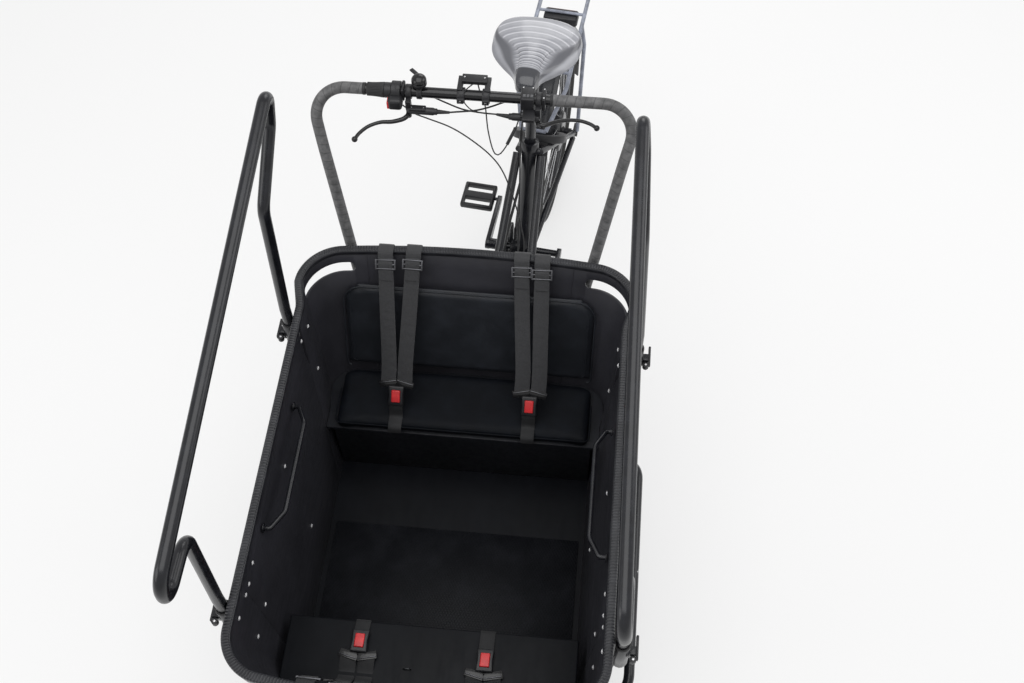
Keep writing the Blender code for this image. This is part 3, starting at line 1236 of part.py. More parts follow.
def make_rear_frame():
    """Head ring, low beam, seat tube, twin tubes, stays and dropouts, as one weldment."""
    hole = bore_radius(KINGPIN_RADIUS, 16)
    frame = ring(HEAD_BOTTOM, HEAD_TOP, hole, HEAD_RADIUS, 16, Matrix.Translation(KINGPIN))
    beam_start = KINGPIN_Y + HEAD_RADIUS - 0.004
    beam = tube(rounded([(0.0, beam_start, BEAM_Z), (0.0, 0.110, BEAM_Z),
                         (0.0, CRANK_Y, CRANK_Z - 0.010)], (0.14,), 4), BEAM_RADIUS, 12)
    shell = rod((-SHELL_HALF, CRANK_Y, CRANK_Z), (SHELL_HALF, CRANK_Y, CRANK_Z), SHELL_RADIUS, 16)
    seat_top = Vector((0.0, SEAT_TUBE_TOP_Y, SEAT_TUBE_TOP_Z))
    seat_tube = rod((0.0, CRANK_Y, CRANK_Z), seat_top, SEAT_TUBE_RADIUS, 16)
    collar = rod(seat_top - SEAT_DIRECTION * 0.022, seat_top + SEAT_DIRECTION * 0.001,
                 SEAT_TUBE_RADIUS + SEAT_COLLAR_WALL, 16)
    join(frame, beam, shell, seat_tube, collar)
    reach = TWIN_LOW_X + 0.010
    join(frame, rod((-reach, TWIN_LOW_Y, TWIN_LOW_Z), (reach, TWIN_LOW_Y, TWIN_LOW_Z), 0.014))
    for side in (1, -1):
        join(frame, rod(twin_point(0.0, 0.0, side), twin_point(1.0, 0.0, side), TWIN_RADIUS))
    join(frame, slab(DOCK_START, DOCK_END, 0.046, -TWIN_RADIUS + 0.001 - DOCK_THICKNESS,
                     -TWIN_RADIUS + 0.002))
    cluster = seat_stay_point(0.0, 1)
    join(frame, rod(cluster, seat_stay_point(0.0, -1), STAY_RADIUS + 0.0015, 10))
    for side in (1, -1):
        seat_stay = rod(seat_stay_point(0.0, side), seat_stay_point(1.0, side), STAY_RADIUS, 10)
        chain_stay = rod((side * STAY_FRONT_X, CRANK_Y + 0.012, CRANK_Z + 0.002),
                         (side * (DROPOUT_X - 0.001), REAR_AXLE_Y - 0.020, REAR_WHEEL_RADIUS),
                         STAY_RADIUS, 10)
        plate_x = side * DROPOUT_X
        plate = block((plate_x - DROPOUT_THICKNESS / 2, REAR_AXLE_Y - 0.032,
                       REAR_WHEEL_RADIUS - 0.018),
                      (plate_x + DROPOUT_THICKNESS / 2, REAR_AXLE_Y + 0.018,
                       REAR_WHEEL_RADIUS + 0.028))
        join(frame, seat_stay, chain_stay, plate)
    collar_at = REAR_HUB_HALF + FIT
    end_at = DROPOUT_X + 0.010
    profile = [(0.0, -end_at), (AXLE_COLLAR_RADIUS, -end_at), (AXLE_COLLAR_RADIUS, -collar_at),
               (AXLE_RADIUS, -collar_at), (AXLE_RADIUS, collar_at),
               (AXLE_COLLAR_RADIUS, collar_at), (AXLE_COLLAR_RADIUS, end_at), (0.0, end_at)]
    join(frame, lathe(profile, 16, at_x(0.0, REAR_AXLE_Y, REAR_WHEEL_RADIUS), closed=False))
    # The bridge touches the mudguard between two corners of its arch.
    stay = seat_stay_at(MUDGUARD_RADIUS, 0)
    angle = math.atan2(stay.z - REAR_WHEEL_RADIUS, stay.y - REAR_AXLE_Y)
    step = (MUDGUARD_START - MUDGUARD_END) / MUDGUARD_STEPS
    off_middle = ((MUDGUARD_START - angle) / step % 1 - 0.5) * step
    arch = (MUDGUARD_RADIUS + MUDGUARD_THICKNESS) * math.cos(step / 2) / math.cos(off_middle)
    bridge = arch + BRIDGE_RADIUS + FIT
    join(frame, rod(seat_stay_at(bridge, 1), seat_stay_at(bridge, -1), BRIDGE_RADIUS, 8))
    post_hole = bore_radius(SEAT_POST_RADIUS, 16)
    bore = rod(seat_top - SEAT_DIRECTION * SEAT_BORE_DEPTH, seat_top + SEAT_DIRECTION * 0.02,
               post_hole, 16)
    spindle_hole = rod((-0.06, CRANK_Y, CRANK_Z), (0.06, CRANK_Y, CRANK_Z),
                       bore_radius(SPINDLE_RADIUS, 16), 16)
    cut(frame, bore, spindle_hole)
    finish(frame, "rear_frame", black_paint, rear_half, KINGPIN, 50)


def make_battery():
    """The battery pack, clipped on the dock between the twin tubes."""
    low = -TWIN_RADIUS + 0.002 + FIT
    pack = slab(DOCK_START + 0.02, DOCK_END - 0.02, BATTERY_HALF_WIDTH, low, low + BATTERY_HEIGHT, 0.008)
    finish(pack, "battery", black_plastic, rear_half, twin_point(DOCK_START, low))


def make_saddle():
    """The post slides in the seat tube, with the saddle clamped on its head."""
    seat_top = Vector((0.0, SEAT_TUBE_TOP_Y, SEAT_TUBE_TOP_Z))
    length = (SADDLE_CLAMP_Z - SEAT_TUBE_TOP_Z) / SEAT_DIRECTION.z
    head = seat_top + SEAT_DIRECTION * length
    post = rod(seat_top - SEAT_DIRECTION * SEAT_POST_INSERT, head, SEAT_POST_RADIUS, 16)
    clamp = block((-0.020, head.y - 0.024, head.z - 0.008), (0.020, head.y + 0.024, head.z + 0.010),
                  0.003, 1)
    finish(join(post, clamp), "seat_post", black_paint, rear_half, seat_top)

    length = SADDLE_TAIL_Y - SADDLE_NOSE_Y
    # Each station: share of the length, share of the width, drop of the crown, fall of the
    # shoulders and depth of the skirts.
    stations = ((0.00, 0.10, 0.012, 0.006, 0.016), (0.02, 0.18, 0.005, 0.010, 0.024),
                (0.10, 0.24, 0.001, 0.013, 0.028), (0.24, 0.30, 0.000, 0.016, 0.030),
                (0.36, 0.42, 0.000, 0.021, 0.034), (0.46, 0.62, 0.001, 0.026, 0.040),
                (0.56, 0.84, 0.001, 0.028, 0.043), (0.66, 0.97, 0.001, 0.025, 0.043),
                (0.76, 1.00, 0.002, 0.020, 0.040), (0.87, 0.92, 0.004, 0.017, 0.034),
                (0.95, 0.72, 0.009, 0.013, 0.028), (1.00, 0.42, 0.017, 0.007, 0.016))
    rings = []
    for share, width, drop, fall, depth in stations:
        half = SADDLE_HALF_WIDTH * width
        top = SADDLE_TOP - drop
        line = []
        for i in range(12):
            angle = math.tau * i / 12
            rise = math.sin(angle)
            inner = 1 - abs(math.cos(angle))
            z = top - fall * (1 - rise) if rise >= 0 else top - depth
            if rise < -0.6:
                z = top - depth + max(0.0, depth - SADDLE_UNDERSIDE) * inner
            line.append((half * math.cos(angle), SADDLE_NOSE_Y + length * share, z))
        rings.append(line)
    saddle = loft(rings)
    rail_z = SADDLE_CLAMP_Z + 0.010 + FIT + SADDLE_RAIL_RADIUS
    root_z = SADDLE_TOP - 0.020
    for side, _ in SIDES:
        path = [(side * 0.012, 0.385, root_z), (side * SADDLE_RAIL_X, SADDLE_RAIL_FRONT_Y, rail_z),
                (side * SADDLE_RAIL_X, SADDLE_RAIL_REAR_Y, rail_z), (side * 0.030, 0.592, root_z)]
        join(saddle, tube(rounded(path, (0.03, 0.03), 2), SADDLE_RAIL_RADIUS, 8))
    finish(saddle, "saddle", saddle_grey, rear_half, seat_top, 60)


def make_crankset():
    """Spindle, two arms, and a pulley on five arms; the right pedal points back."""
    centre = Vector((0.0, CRANK_Y, CRANK_Z))
    arm_x = CRANK_ARM_X
    crank = rod((-arm_x - 0.004, CRANK_Y, CRANK_Z), (arm_x + 0.004, CRANK_Y, CRANK_Z),
                SPINDLE_RADIUS, 16)
    half = CRANK_ARM_THICKNESS / 2
    for side in (-1, 1):
        back = -side
        outline = []
        for along, reach, facing in ((0.0, CRANK_ROOT_RADIUS, 1), (CRANK_LENGTH, CRANK_TIP_RADIUS, -1)):
            for i in range(7):
                angle = math.pi / 2 + math.pi * i / 6
                outline.append((along + facing * reach * math.cos(angle),
                                facing * reach * math.sin(angle)))
        arm = prism(outline, -half, half)
        arm.data.transform(Matrix(((0, 0, back, side * arm_x), (back, 0, 0, CRANK_Y),
                                   (0, 1, 0, CRANK_Z), (0, 0, 0, 1))))
        pedal_y = CRANK_Y + back * CRANK_LENGTH
        axle = rod((side * arm_x, pedal_y, CRANK_Z),
                   (side * (PEDAL_X + PEDAL_WIDTH / 2 - PEDAL_AXLE_STOP), pedal_y, CRANK_Z),
                   PEDAL_AXLE_RADIUS)
        join(crank, arm, axle)
    pulley = FRONT_PULLEY_RADIUS - FIT
    low = -BELT_X - BELT_WIDTH / 2
    wheel = ring(low, low + BELT_WIDTH, pulley - PULLEY_RING, pulley, 40, at_x(0.0, CRANK_Y, CRANK_Z))
    hub = rod((low + 0.001, CRANK_Y, CRANK_Z), (-arm_x, CRANK_Y, CRANK_Z), 0.016, 16)
    join(crank, hub)
    middle = centre - Vector((BELT_X, 0.0, 0.0))
    for i in range(PULLEY_ARMS):
        angle = math.tau * i / PULLEY_ARMS + 0.3
        outward = Vector((0.0, math.cos(angle), math.sin(angle)))
        join(crank, rod(middle + outward * 0.012, middle + outward * (pulley - PULLEY_RING / 2),
                        PULLEY_ARM_RADIUS, 6))
    join(crank, wheel)
    finish(crank, "crankset", black_paint, rear_half, centre, 50)


def make_pedal(name, side):
    """A pedal frame with two windows, turning on its axle."""
    pedal_y = CRANK_Y - side * CRANK_LENGTH
    middle = Vector((side * PEDAL_X, pedal_y, CRANK_Z))
    reach = Vector((PEDAL_WIDTH / 2, PEDAL_DEPTH / 2, PEDAL_HEIGHT / 2))
    pedal = block(middle - reach, middle + reach, 0.004, 1)
    inner = side * (PEDAL_X - PEDAL_WIDTH / 2 - 0.01)
    outer = side * (PEDAL_X + PEDAL_WIDTH / 2 - PEDAL_AXLE_STOP + FIT)
    cutters = [rod((inner, pedal_y, CRANK_Z), (outer, pedal_y, CRANK_Z),
                   bore_radius(PEDAL_AXLE_RADIUS, 12))]
    inset_x = PEDAL_WIDTH / 2 - PEDAL_FRAME
    for back in (-1, 1):
        y0, y1 = sorted((pedal_y + back * PEDAL_BRIDGE,
                         pedal_y + back * (PEDAL_DEPTH / 2 - PEDAL_FRAME)))
        cutters.append(block((middle.x - inset_x, y0, CRANK_Z - PEDAL_HEIGHT),
                             (middle.x + inset_x, y1, CRANK_Z + PEDAL_HEIGHT)))
    cut(pedal, *cutters)
    finish(pedal, "pedal_" + name, black_plastic, rear_half, middle)


def make_belt():
    """The drive belt round both pulleys."""
    gap = REAR_AXLE_Y - CRANK_Y
    rise = REAR_WHEEL_RADIUS - CRANK_Z
    length = math.hypot(gap, rise)
    tilt = math.atan2(rise, gap)
    spread = math.acos((FRONT_PULLEY_RADIUS - REAR_PULLEY_RADIUS) / length)
    low = -BELT_X - BELT_WIDTH / 2 + 0.001
    high = -BELT_X + BELT_WIDTH / 2 - 0.001
    rings = []
    for thickness, near, far in ((0.0, low, high), (BELT_THICKNESS, high, low)):
        line = []
        for i in range(17):
            angle = tilt + spread + (math.tau - 2 * spread) * i / 16
            reach = FRONT_PULLEY_RADIUS / math.cos((math.pi - spread) / 16) + thickness
            line.append((CRANK_Y + reach * math.cos(angle), CRANK_Z + reach * math.sin(angle)))
        for i in range(11):
            angle = tilt - spread + 2 * spread * i / 10
            reach = REAR_PULLEY_RADIUS / math.cos(spread / 10) + thickness
            line.append((REAR_AXLE_Y + reach * math.cos(angle),
                         REAR_WHEEL_RADIUS + reach * math.sin(angle)))
        for x in (near, far):
            rings.append([(x, y, z) for y, z in line])
    finish(loft(rings, closed=True), "drive_belt", black_rubber, rear_half, (0.0, CRANK_Y, CRANK_Z))


def make_mudguard():
    """An arched strip round the rear wheel."""
    section = []
    for i in range(7):
        across = -1 + 2 * i / 6
        section.append((across * MUDGUARD_HALF_WIDTH, -MUDGUARD_DROP * across ** 4))
    section += [(x * 0.93, drop - MUDGUARD_THICKNESS) for x, drop in reversed(section)]
    rings = []
    for i in range(MUDGUARD_STEPS + 1):
        angle = MUDGUARD_START + (MUDGUARD_END - MUDGUARD_START) * i / MUDGUARD_STEPS
        line = []
        for x, drop in section:
            reach = MUDGUARD_RADIUS + MUDGUARD_THICKNESS + drop
            line.append((x, REAR_AXLE_Y + reach * math.cos(angle),
                         REAR_WHEEL_RADIUS + reach * math.sin(angle)))
        rings.append(line)
    finish(loft(rings), "mudguard", black_paint, rear_half,
           (0.0, REAR_AXLE_Y, REAR_WHEEL_RADIUS), 50)


def make_rack():
    """A luggage rack: two rails joined at the tail, cross bars, legs and front struts."""
    wide = RACK_HALF_WIDTH
    loop = [(wide, RACK_START_Y, RACK_Z), (wide, RACK_END_Y - RACK_RADIUS, RACK_Z),
            (-wide, RACK_END_Y - RACK_RADIUS, RACK_Z), (-wide, RACK_START_Y, RACK_Z)]
    tie_ends = [(side * RACK_TIE_HALF, RACK_TIE_Y, RACK_TIE_Z) for side in (1, -1)]
    corners = [tie_ends[0]] + loop + [tie_ends[1]]
    rack = tube(rounded(corners, RACK_BENDS, 3), RACK_RADIUS, 8)
    for y in (RACK_FRONT_BAR_Y, LAMP_Y, RACK_REAR_BAR_Y):
        join(rack, rod((-wide, y, RACK_Z), (wide, y, RACK_Z), RACK_BAR_RADIUS, 8))
    foot_x = DROPOUT_X + DROPOUT_THICKNESS / 2 + RACK_RADIUS + FIT
    for side, _ in SIDES:
        leg = [(side * foot_x, REAR_AXLE_Y - 0.004, REAR_WHEEL_RADIUS + 0.018),
               (side * foot_x, RACK_LEG_Y - 0.010, RACK_Z - 0.060),
               (side * wide, RACK_LEG_Y, RACK_Z)]
        join(rack, tube(leg, RACK_RADIUS, 8))
    join(rack, rod(tie_ends[1], tie_ends[0], RACK_TIE_RADIUS, 8),
         rod((0.0, RACK_TIE_Y, RACK_TIE_Z), (0.0, RACK_TIE_END_Y, RACK_TIE_Z), RACK_TIE_RADIUS, 8))
    seat_top = Vector((0.0, SEAT_TUBE_TOP_Y, SEAT_TUBE_TOP_Z))
    cut(rack, rod(seat_top - SEAT_DIRECTION * 0.06, seat_top + SEAT_DIRECTION * 0.04,
                  SEAT_TUBE_RADIUS + SEAT_COLLAR_WALL + FIT, 16))
    finish(rack, "luggage_rack", black_paint, rear_half, (0.0, REAR_AXLE_Y, RACK_Z), 50)

    top = RACK_Z - RACK_BAR_RADIUS - FIT
    lamp = block((-LAMP_WIDTH / 2, LAMP_Y - LAMP_DEPTH / 2, top - LAMP_HEIGHT),
                 (LAMP_WIDTH / 2, LAMP_Y + LAMP_DEPTH / 2, top), 0.007, 2)
    finish(lamp, "rear_lamp", lamp_red, rear_half, (0.0, LAMP_Y, top))


def make_ring_lock():
    """A horseshoe wheel lock round the tyre, mudguard and stays."""
    outline = []
    opening = math.radians(52)
    for i in range(15):
        angle = -math.pi / 2 + opening + (math.tau - 2 * opening) * i / 14
        outline.append((LOCK_OUTER * math.cos(angle), LOCK_OUTER * math.sin(angle)))
    for i in range(15):
        angle = -math.pi / 2 + opening + (math.tau - 2 * opening) * (14 - i) / 14
        outline.append((LOCK_INNER * math.cos(angle), LOCK_INNER * math.sin(angle)))
    lock = prism(outline, -LOCK_DEPTH / 2, LOCK_DEPTH / 2)
    # The lock lies on the seat stays, with its ring round the tyre.
    up_stay = (seat_stay_point(0.0, 0) - seat_stay_point(1.0, 0)).normalized()
    across = Vector((1.0, 0.0, 0.0))
    off_stay = across.cross(up_stay)
    if off_stay.z < 0:
        off_stay = -off_stay
        across = -across
    frame = Matrix((across, up_stay, off_stay)).transposed().to_4x4()
    centre = seat_stay_at(REAR_WHEEL_RADIUS + LOCK_AIR, 0) + off_stay * (LOCK_DEPTH / 2 + STAY_RADIUS + FIT)
    frame.translation = centre
    lock.data.transform(frame)
    finish(lock, "ring_lock", black_plastic, rear_half, centre)


make_box()
for side, name in SIDES:
    make_hoop("rain_hoop_" + name, side)
    make_quick_release("quick_release_rear_" + name, side, HOOP_REAR_Y)
    make_quick_release("quick_release_front_" + name, side, HOOP_FRONT_Y)
    make_grab_rail("grab_rail_" + name, side)
    make_wheel_guard(name, side)
    make_pedal(name, side)
make_rear_seat()
make_back_cushion()
make_front_bench()
make_harnesses()
make_handlebar()
make_display_mount()
make_shifter()
make_brake("right", -1, (-0.267, 0.088, 1.040), -0.004)
make_brake("left", 1, (0.287, 0.152, 1.042), -0.014)
make_bell()
make_cables()
make_chassis()
make_front_wheels()
make_rear_frame()
make_rear_wheel()
make_battery()
make_saddle()
make_crankset()
make_belt()
make_mudguard()
make_rack()
make_ring_lock()
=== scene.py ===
import math

import bpy
from mathutils import Matrix, Vector


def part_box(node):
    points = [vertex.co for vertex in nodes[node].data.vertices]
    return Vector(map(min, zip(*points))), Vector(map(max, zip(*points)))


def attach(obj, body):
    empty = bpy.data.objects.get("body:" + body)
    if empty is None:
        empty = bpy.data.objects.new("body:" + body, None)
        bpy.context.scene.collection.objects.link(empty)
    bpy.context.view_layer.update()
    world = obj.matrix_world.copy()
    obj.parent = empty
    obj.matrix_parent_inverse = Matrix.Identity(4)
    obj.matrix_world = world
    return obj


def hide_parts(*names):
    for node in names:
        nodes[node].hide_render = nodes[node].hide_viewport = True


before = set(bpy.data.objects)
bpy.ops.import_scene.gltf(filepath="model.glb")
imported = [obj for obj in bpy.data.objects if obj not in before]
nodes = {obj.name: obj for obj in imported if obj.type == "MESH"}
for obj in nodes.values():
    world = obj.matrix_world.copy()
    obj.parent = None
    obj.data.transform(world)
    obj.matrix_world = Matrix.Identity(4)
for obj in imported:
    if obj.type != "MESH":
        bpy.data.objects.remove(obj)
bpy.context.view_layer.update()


# camera, floor and lights

view = {
    "place": (0.29262, -1.71190, 3.12248),
    "right": (0.995346, 0.095716, -0.011184),
    "up": (-0.075664, 0.848101, 0.524404),
    "ahead": (-0.059679, 0.521117, -0.851396),
    "lens": 41.7606,
}


def setCamera():
    bpy.ops.object.camera_add()
    camera = bpy.context.object
    turn = Matrix((view["right"], view["up"], -Vector(view["ahead"]))).transposed()
    camera.matrix_world = Matrix.Translation(view["place"]) @ turn.to_4x4()
    camera.data.lens = view["lens"]
    camera.data.sensor_width = 36.0
    camera.data.dof.use_dof = False
    bpy.context.scene.camera = camera


class Value:
    # a number socket: an expression on it adds its Math nodes
    def __init__(self, paint, socket):
        self.paint = paint
        self.socket = socket

    def maths(self, operation, *values):
        made = self.paint.node("ShaderNodeMath", {"operation": operation},
                               {i: value for i, value in enumerate(values)})
        return Value(self.paint, made.outputs[0])

    def __add__(self, other):
        return self.maths("ADD", self, other)

    __radd__ = __add__

    def __sub__(self, other):
        return self.maths("SUBTRACT", self, other)

    def __rsub__(self, other):
        return self.maths("SUBTRACT", other, self)

    def __mul__(self, other):
        return self.maths("MULTIPLY", self, other)

    __rmul__ = __mul__

    def __pow__(self, other):
        return self.maths("POWER", self, other)

    def wave(self):
        return self.maths("SINE", self)

    def part(self):
        return self.maths("FRACT", self)

    def size(self):
        return self.maths("ABSOLUTE", self)

    def most(self, other):
        return self.maths("MAXIMUM", self, other)

    def between(self, low, high):
        made = self.paint.node("ShaderNodeMapRange", {"interpolation_type": "SMOOTHSTEP"},
                               {"Value": self, "From Min": low, "From Max": high})
        return Value(self.paint, made.outputs[0])


class Paint:
    # one material: a Principled shader and the nodes that feed it
    def __init__(self, name, colour, roughness, metallic=0.0, **settings):
        self.material = bpy.data.materials.new(name)
        self.material.use_nodes = True
        self.tree = self.material.node_tree
        self.shader = self.tree.nodes["Principled BSDF"]
        self.put("Base Color", colour)
        self.put("Roughness", roughness)
        self.put("Metallic", metallic)
        for socket, value in settings.items():
            self.put(socket.replace("_", " "), value)

    def put(self, socket, value):
        self.give(self.shader.inputs[socket], value)

    def give(self, socket, value):
        if isinstance(value, Value):
            value = value.socket
        if isinstance(value, bpy.types.NodeSocket):
            self.tree.links.new(value, socket)
        elif isinstance(value, tuple) and len(value) == 3 and socket.type == "RGBA":
            socket.default_value = (*value, 1.0)
        else:
            socket.default_value = value

    def node(self, kind, settings=None, values=None):
        made = self.tree.nodes.new(kind)
        for name, value in (settings or {}).items():
            setattr(made, name, value)
        for name, value in (values or {}).items():
            self.give(made.inputs[name], value)
        return made

    def place(self, turn=(0, 0, 0), scale=(1, 1, 1), shift=(0, 0, 0), source="Object"):
        coords = self.node("ShaderNodeTexCoord")
        mapping = self.node("ShaderNodeMapping", None, {
            "Vector": coords.outputs[source], "Rotation": turn, "Scale": scale, "Location": shift})
        return mapping.outputs[0]

    def along(self, axis, vector=None):
        vector = vector or self.place()
        split = self.node("ShaderNodeSeparateXYZ", None, {0: vector})
        return Value(self, split.outputs[axis])

    def noise(self, scale, detail=3.0, roughness=0.5, vector=None):
        made = self.node("ShaderNodeTexNoise", None, {
            "Vector": vector or self.place(), "Scale": scale, "Detail": detail,
            "Roughness": roughness})
        return Value(self, made.outputs[0])

    def cells(self, scale, vector=None, feature="F1"):
        made = self.node("ShaderNodeTexVoronoi", {"feature": feature}, {
            "Vector": vector or self.place(), "Scale": scale})
        return Value(self, made.outputs[0])

    def mixed(self, share, first, second):
        made = self.node("ShaderNodeMix", {"data_type": "RGBA"}, {0: share, 6: first, 7: second})
        return made.outputs[2]

    def bump(self, height, distance, strength=1.0, under=None):
        made = self.node("ShaderNodeBump", None, {
            "Height": height, "Distance": distance, "Strength": strength})
        if under is not None:
            self.give(made.inputs["Normal"], under)
        self.put("Normal", made.outputs[0])
        return made.outputs[0]


studio = {
    "floorColour": (0.93, 0.93, 0.93),
    "world": 0.55,
    "glow": 0.60,
    "lamps": (((0.0, -0.6, 3.9), 3.2, 56.0), ((-3.0, -2.0, 2.4), 2.0, 22.0),
              ((3.0, 0.8, 2.6), 2.0, 20.0), ((0.4, 3.2, 2.6), 1.6, 16.0)),
    "aim": (0.0, 0.0, 0.5),
}


def setStudio():
    bpy.ops.mesh.primitive_plane_add(size=16.0, location=(0, 0, -0.0005))
    floor = bpy.context.object
    floor.name = "studioFloor"
    bpy.ops.object.transform_apply(location=True)
    paint = Paint("floorPaint", studio["floorColour"], 0.8)
    glow = paint.node("ShaderNodeEmission", None, {"Color": (1, 1, 1, 1), "Strength": 1.0})
    seen = paint.node("ShaderNodeLightPath")
    share = (Value(paint, seen.outputs["Is Camera Ray"]) * studio["glow"]).most(
        Value(paint, seen.outputs["Is Glossy Ray"]) * 0.4)
    both = paint.node("ShaderNodeMixShader", None, {
        0: share, 1: paint.shader.outputs[0], 2: glow.outputs[0]})
    paint.tree.links.new(both.outputs[0], paint.tree.nodes["Material Output"].inputs[0])
    floor.data.materials.append(paint.material)

    world = bpy.data.worlds.new("studioWorld")
    world.use_nodes = True
    tree = world.node_tree
    back = tree.nodes["Background"]
    back.inputs[0].default_value = (1.0, 1.0, 1.0, 1.0)
    path = tree.nodes.new("ShaderNodeLightPath")
    level = tree.nodes.new("ShaderNodeMapRange")
    level.inputs["To Min"].default_value = studio["world"]
    level.inputs["To Max"].default_value = 1.0
    tree.links.new(path.outputs["Is Camera Ray"], level.inputs["Value"])
    tree.links.new(level.outputs[0], back.inputs[1])
    bpy.context.scene.world = world

    for place, size, power in studio["lamps"]:
        bpy.ops.object.light_add(type="AREA", location=place)
        lamp = bpy.context.object
        lamp.data.shape = "SQUARE"
        lamp.data.size = size
        lamp.data.energy = power
        aim = Vector(studio["aim"]) - Vector(place)
        lamp.rotation_euler = aim.to_track_quat("-Z", "Y").to_euler()
    bpy.context.scene.view_settings.view_transform = "Standard"


setCamera()
setStudio()
print("stage: camera, floor and lamps")


# materials

def powderCoat(name, colour, roughness):
    paint = Paint(name, colour, roughness)
    wear = paint.noise(35.0, 4.0, 0.6)
    fine = paint.noise(900.0, 2.0, 0.6)
    paint.put("Roughness", roughness - 0.04 + wear * 0.1)
    paint.put("Base Color", paint.mixed(wear.between(0.35, 0.75), colour, tuple(c * 1.8 for c in colour)))
    paint.bump(fine, 0.00008, 0.4)
    return paint.material


def boardSkin(name, colour, shine):
    # a hard dark film with a faint mottle and fine scuffs
    paint = Paint(name, colour, 0.45, Specular_IOR_Level=shine)
    cloud = paint.noise(7.0, 5.0, 0.6)
    scuffs = paint.noise(60.0, 6.0, 0.7, paint.place(scale=(1.0, 0.18, 1.0), turn=(0, 0, 0.3)))
    grain = paint.cells(850.0)
    paint.put("Base Color", paint.mixed(cloud.between(0.3, 0.7), colour, tuple(c * 1.5 for c in colour)))
    paint.put("Roughness", 0.38 + scuffs.between(0.35, 0.8) * 0.18)
    paint.bump(grain * 0.6 + scuffs * 0.4, 0.00015, 0.5)
    return paint.material


def rubber(name, colour, roughness):
    paint = Paint(name, colour, roughness)
    dust = paint.noise(45.0, 5.0, 0.65)
    fine = paint.noise(600.0, 3.0, 0.6)
    lighter = tuple(c * 1.7 for c in colour)
    paint.put("Base Color", paint.mixed(dust.between(0.4, 0.8), colour, lighter))
    paint.put("Roughness", roughness - 0.06 + dust * 0.14)
    paint.bump(fine, 0.0002, 0.5)
    return paint.material


def plastic(name, colour, roughness, grain=0.6):
    paint = Paint(name, colour, roughness)
    spark = paint.cells(1100.0)
    cloud = paint.noise(30.0, 4.0, 0.6)
    lighter = tuple(c * 1.5 for c in colour)
    paint.put("Base Color", paint.mixed(cloud.between(0.35, 0.8), colour, lighter))
    paint.put("Roughness", roughness - 0.05 + cloud * 0.1)
    paint.bump(spark, 0.00012, grain)
    return paint.material


def leatherette(name, colour, roughness, shine):
    paint = Paint(name, colour, roughness, Specular_IOR_Level=shine)
    where = paint.place()
    creases = paint.cells(420.0, where, "DISTANCE_TO_EDGE")
    folds = paint.noise(18.0, 4.0, 0.6, where)
    lighter = tuple(c * 1.6 for c in colour)
    paint.put("Base Color", paint.mixed(folds.between(0.35, 0.75), colour, lighter))
    paint.put("Roughness", roughness - 0.08 + folds * 0.18)
    first = paint.bump(creases.between(0.0, 0.25), 0.00022, 0.6)
    paint.bump(folds, 0.003, 0.35, first)
    return paint.material


def webbing(name, colour, lighter, sheen):
    # plain weave: ribs across the strap and fine threads along it
    paint = Paint(name, colour, 0.62, Sheen_Weight=sheen, Sheen_Roughness=0.5)
    across = paint.along(0)
    along = paint.along(1)
    up = paint.along(2)
    threads = (across * 3800.0).wave()
    picks = ((along + up * -1.1) * 2300.0).wave()
    weave = threads * 0.5 + picks * threads * 0.5
    fuzz = paint.noise(260.0, 4.0, 0.7)
    paint.put("Base Color", paint.mixed(fuzz.between(0.3, 0.8), colour, lighter))
    paint.put("Roughness", 0.55 + fuzz * 0.2)
    paint.bump(weave + fuzz * 0.6, 0.00025, 0.6)
    return paint.material


def steel(name, colour, roughness):
    paint = Paint(name, colour, roughness, 1.0)
    marks = paint.noise(300.0, 5.0, 0.6)
    paint.put("Roughness", roughness - 0.05 + marks * 0.14)
    paint.put("Base Color", paint.mixed(marks.between(0.3, 0.8), colour, tuple(c * 0.8 for c in colour)))
    paint.bump(marks, 0.00008, 0.4)
    return paint.material


def ribbedTrim():
    # fine ribs across the rubber, on its top and outer side; the UV map is in metres
    paint = Paint("ribbedTrim", (0.012, 0.0125, 0.015), 0.42)
    where = paint.place(source="UV")
    run = paint.along(0, where)
    around = paint.along(1, where)
    ribs = (run * (math.tau / 0.0068)).wave() * 0.5 + 0.5
    mask = around.between(0.001, 0.003) * (1 - around.between(0.029, 0.032))
    dust = paint.noise(25.0, 5.0, 0.65)
    shade = (ribs ** 0.6) * mask
    dusty = paint.mixed(dust.between(0.35, 0.8), (0.014, 0.0146, 0.018), (0.034, 0.035, 0.041))
    paint.put("Base Color", dusty)
    paint.put("Roughness", 0.28 + dust * 0.16)
    fine = paint.bump(paint.noise(700.0, 2.0), 0.00015, 0.3)
    paint.bump(shade, 0.0013, 1.0, fine)
    return paint.material


def matRubber():
    # a mat with a fine diamond pattern of raised bars
    paint = Paint("matRubber", (0.007, 0.008, 0.010), 0.55, Specular_IOR_Level=0.22)
    x = paint.along(0)
    y = paint.along(1)
    one = (((x + y * 0.6) * 130.0).part() - 0.5).size()
    two = (((x - y * 0.6) * 130.0).part() - 0.5).size()
    bars = (1 - one.between(0.04, 0.16)).most(1 - two.between(0.04, 0.16))
    dust = paint.noise(14.0, 6.0, 0.65)
    dusty = paint.mixed(dust.between(0.35, 0.8), (0.0055, 0.0062, 0.0085), (0.0138, 0.0150, 0.0190))
    paint.put("Base Color", dusty)
    paint.put("Roughness", 0.42 + dust * 0.2)
    fine = paint.bump(paint.noise(500.0, 3.0), 0.0002, 0.4)
    paint.bump(bars, 0.0010, 0.8, fine)
    return paint.material


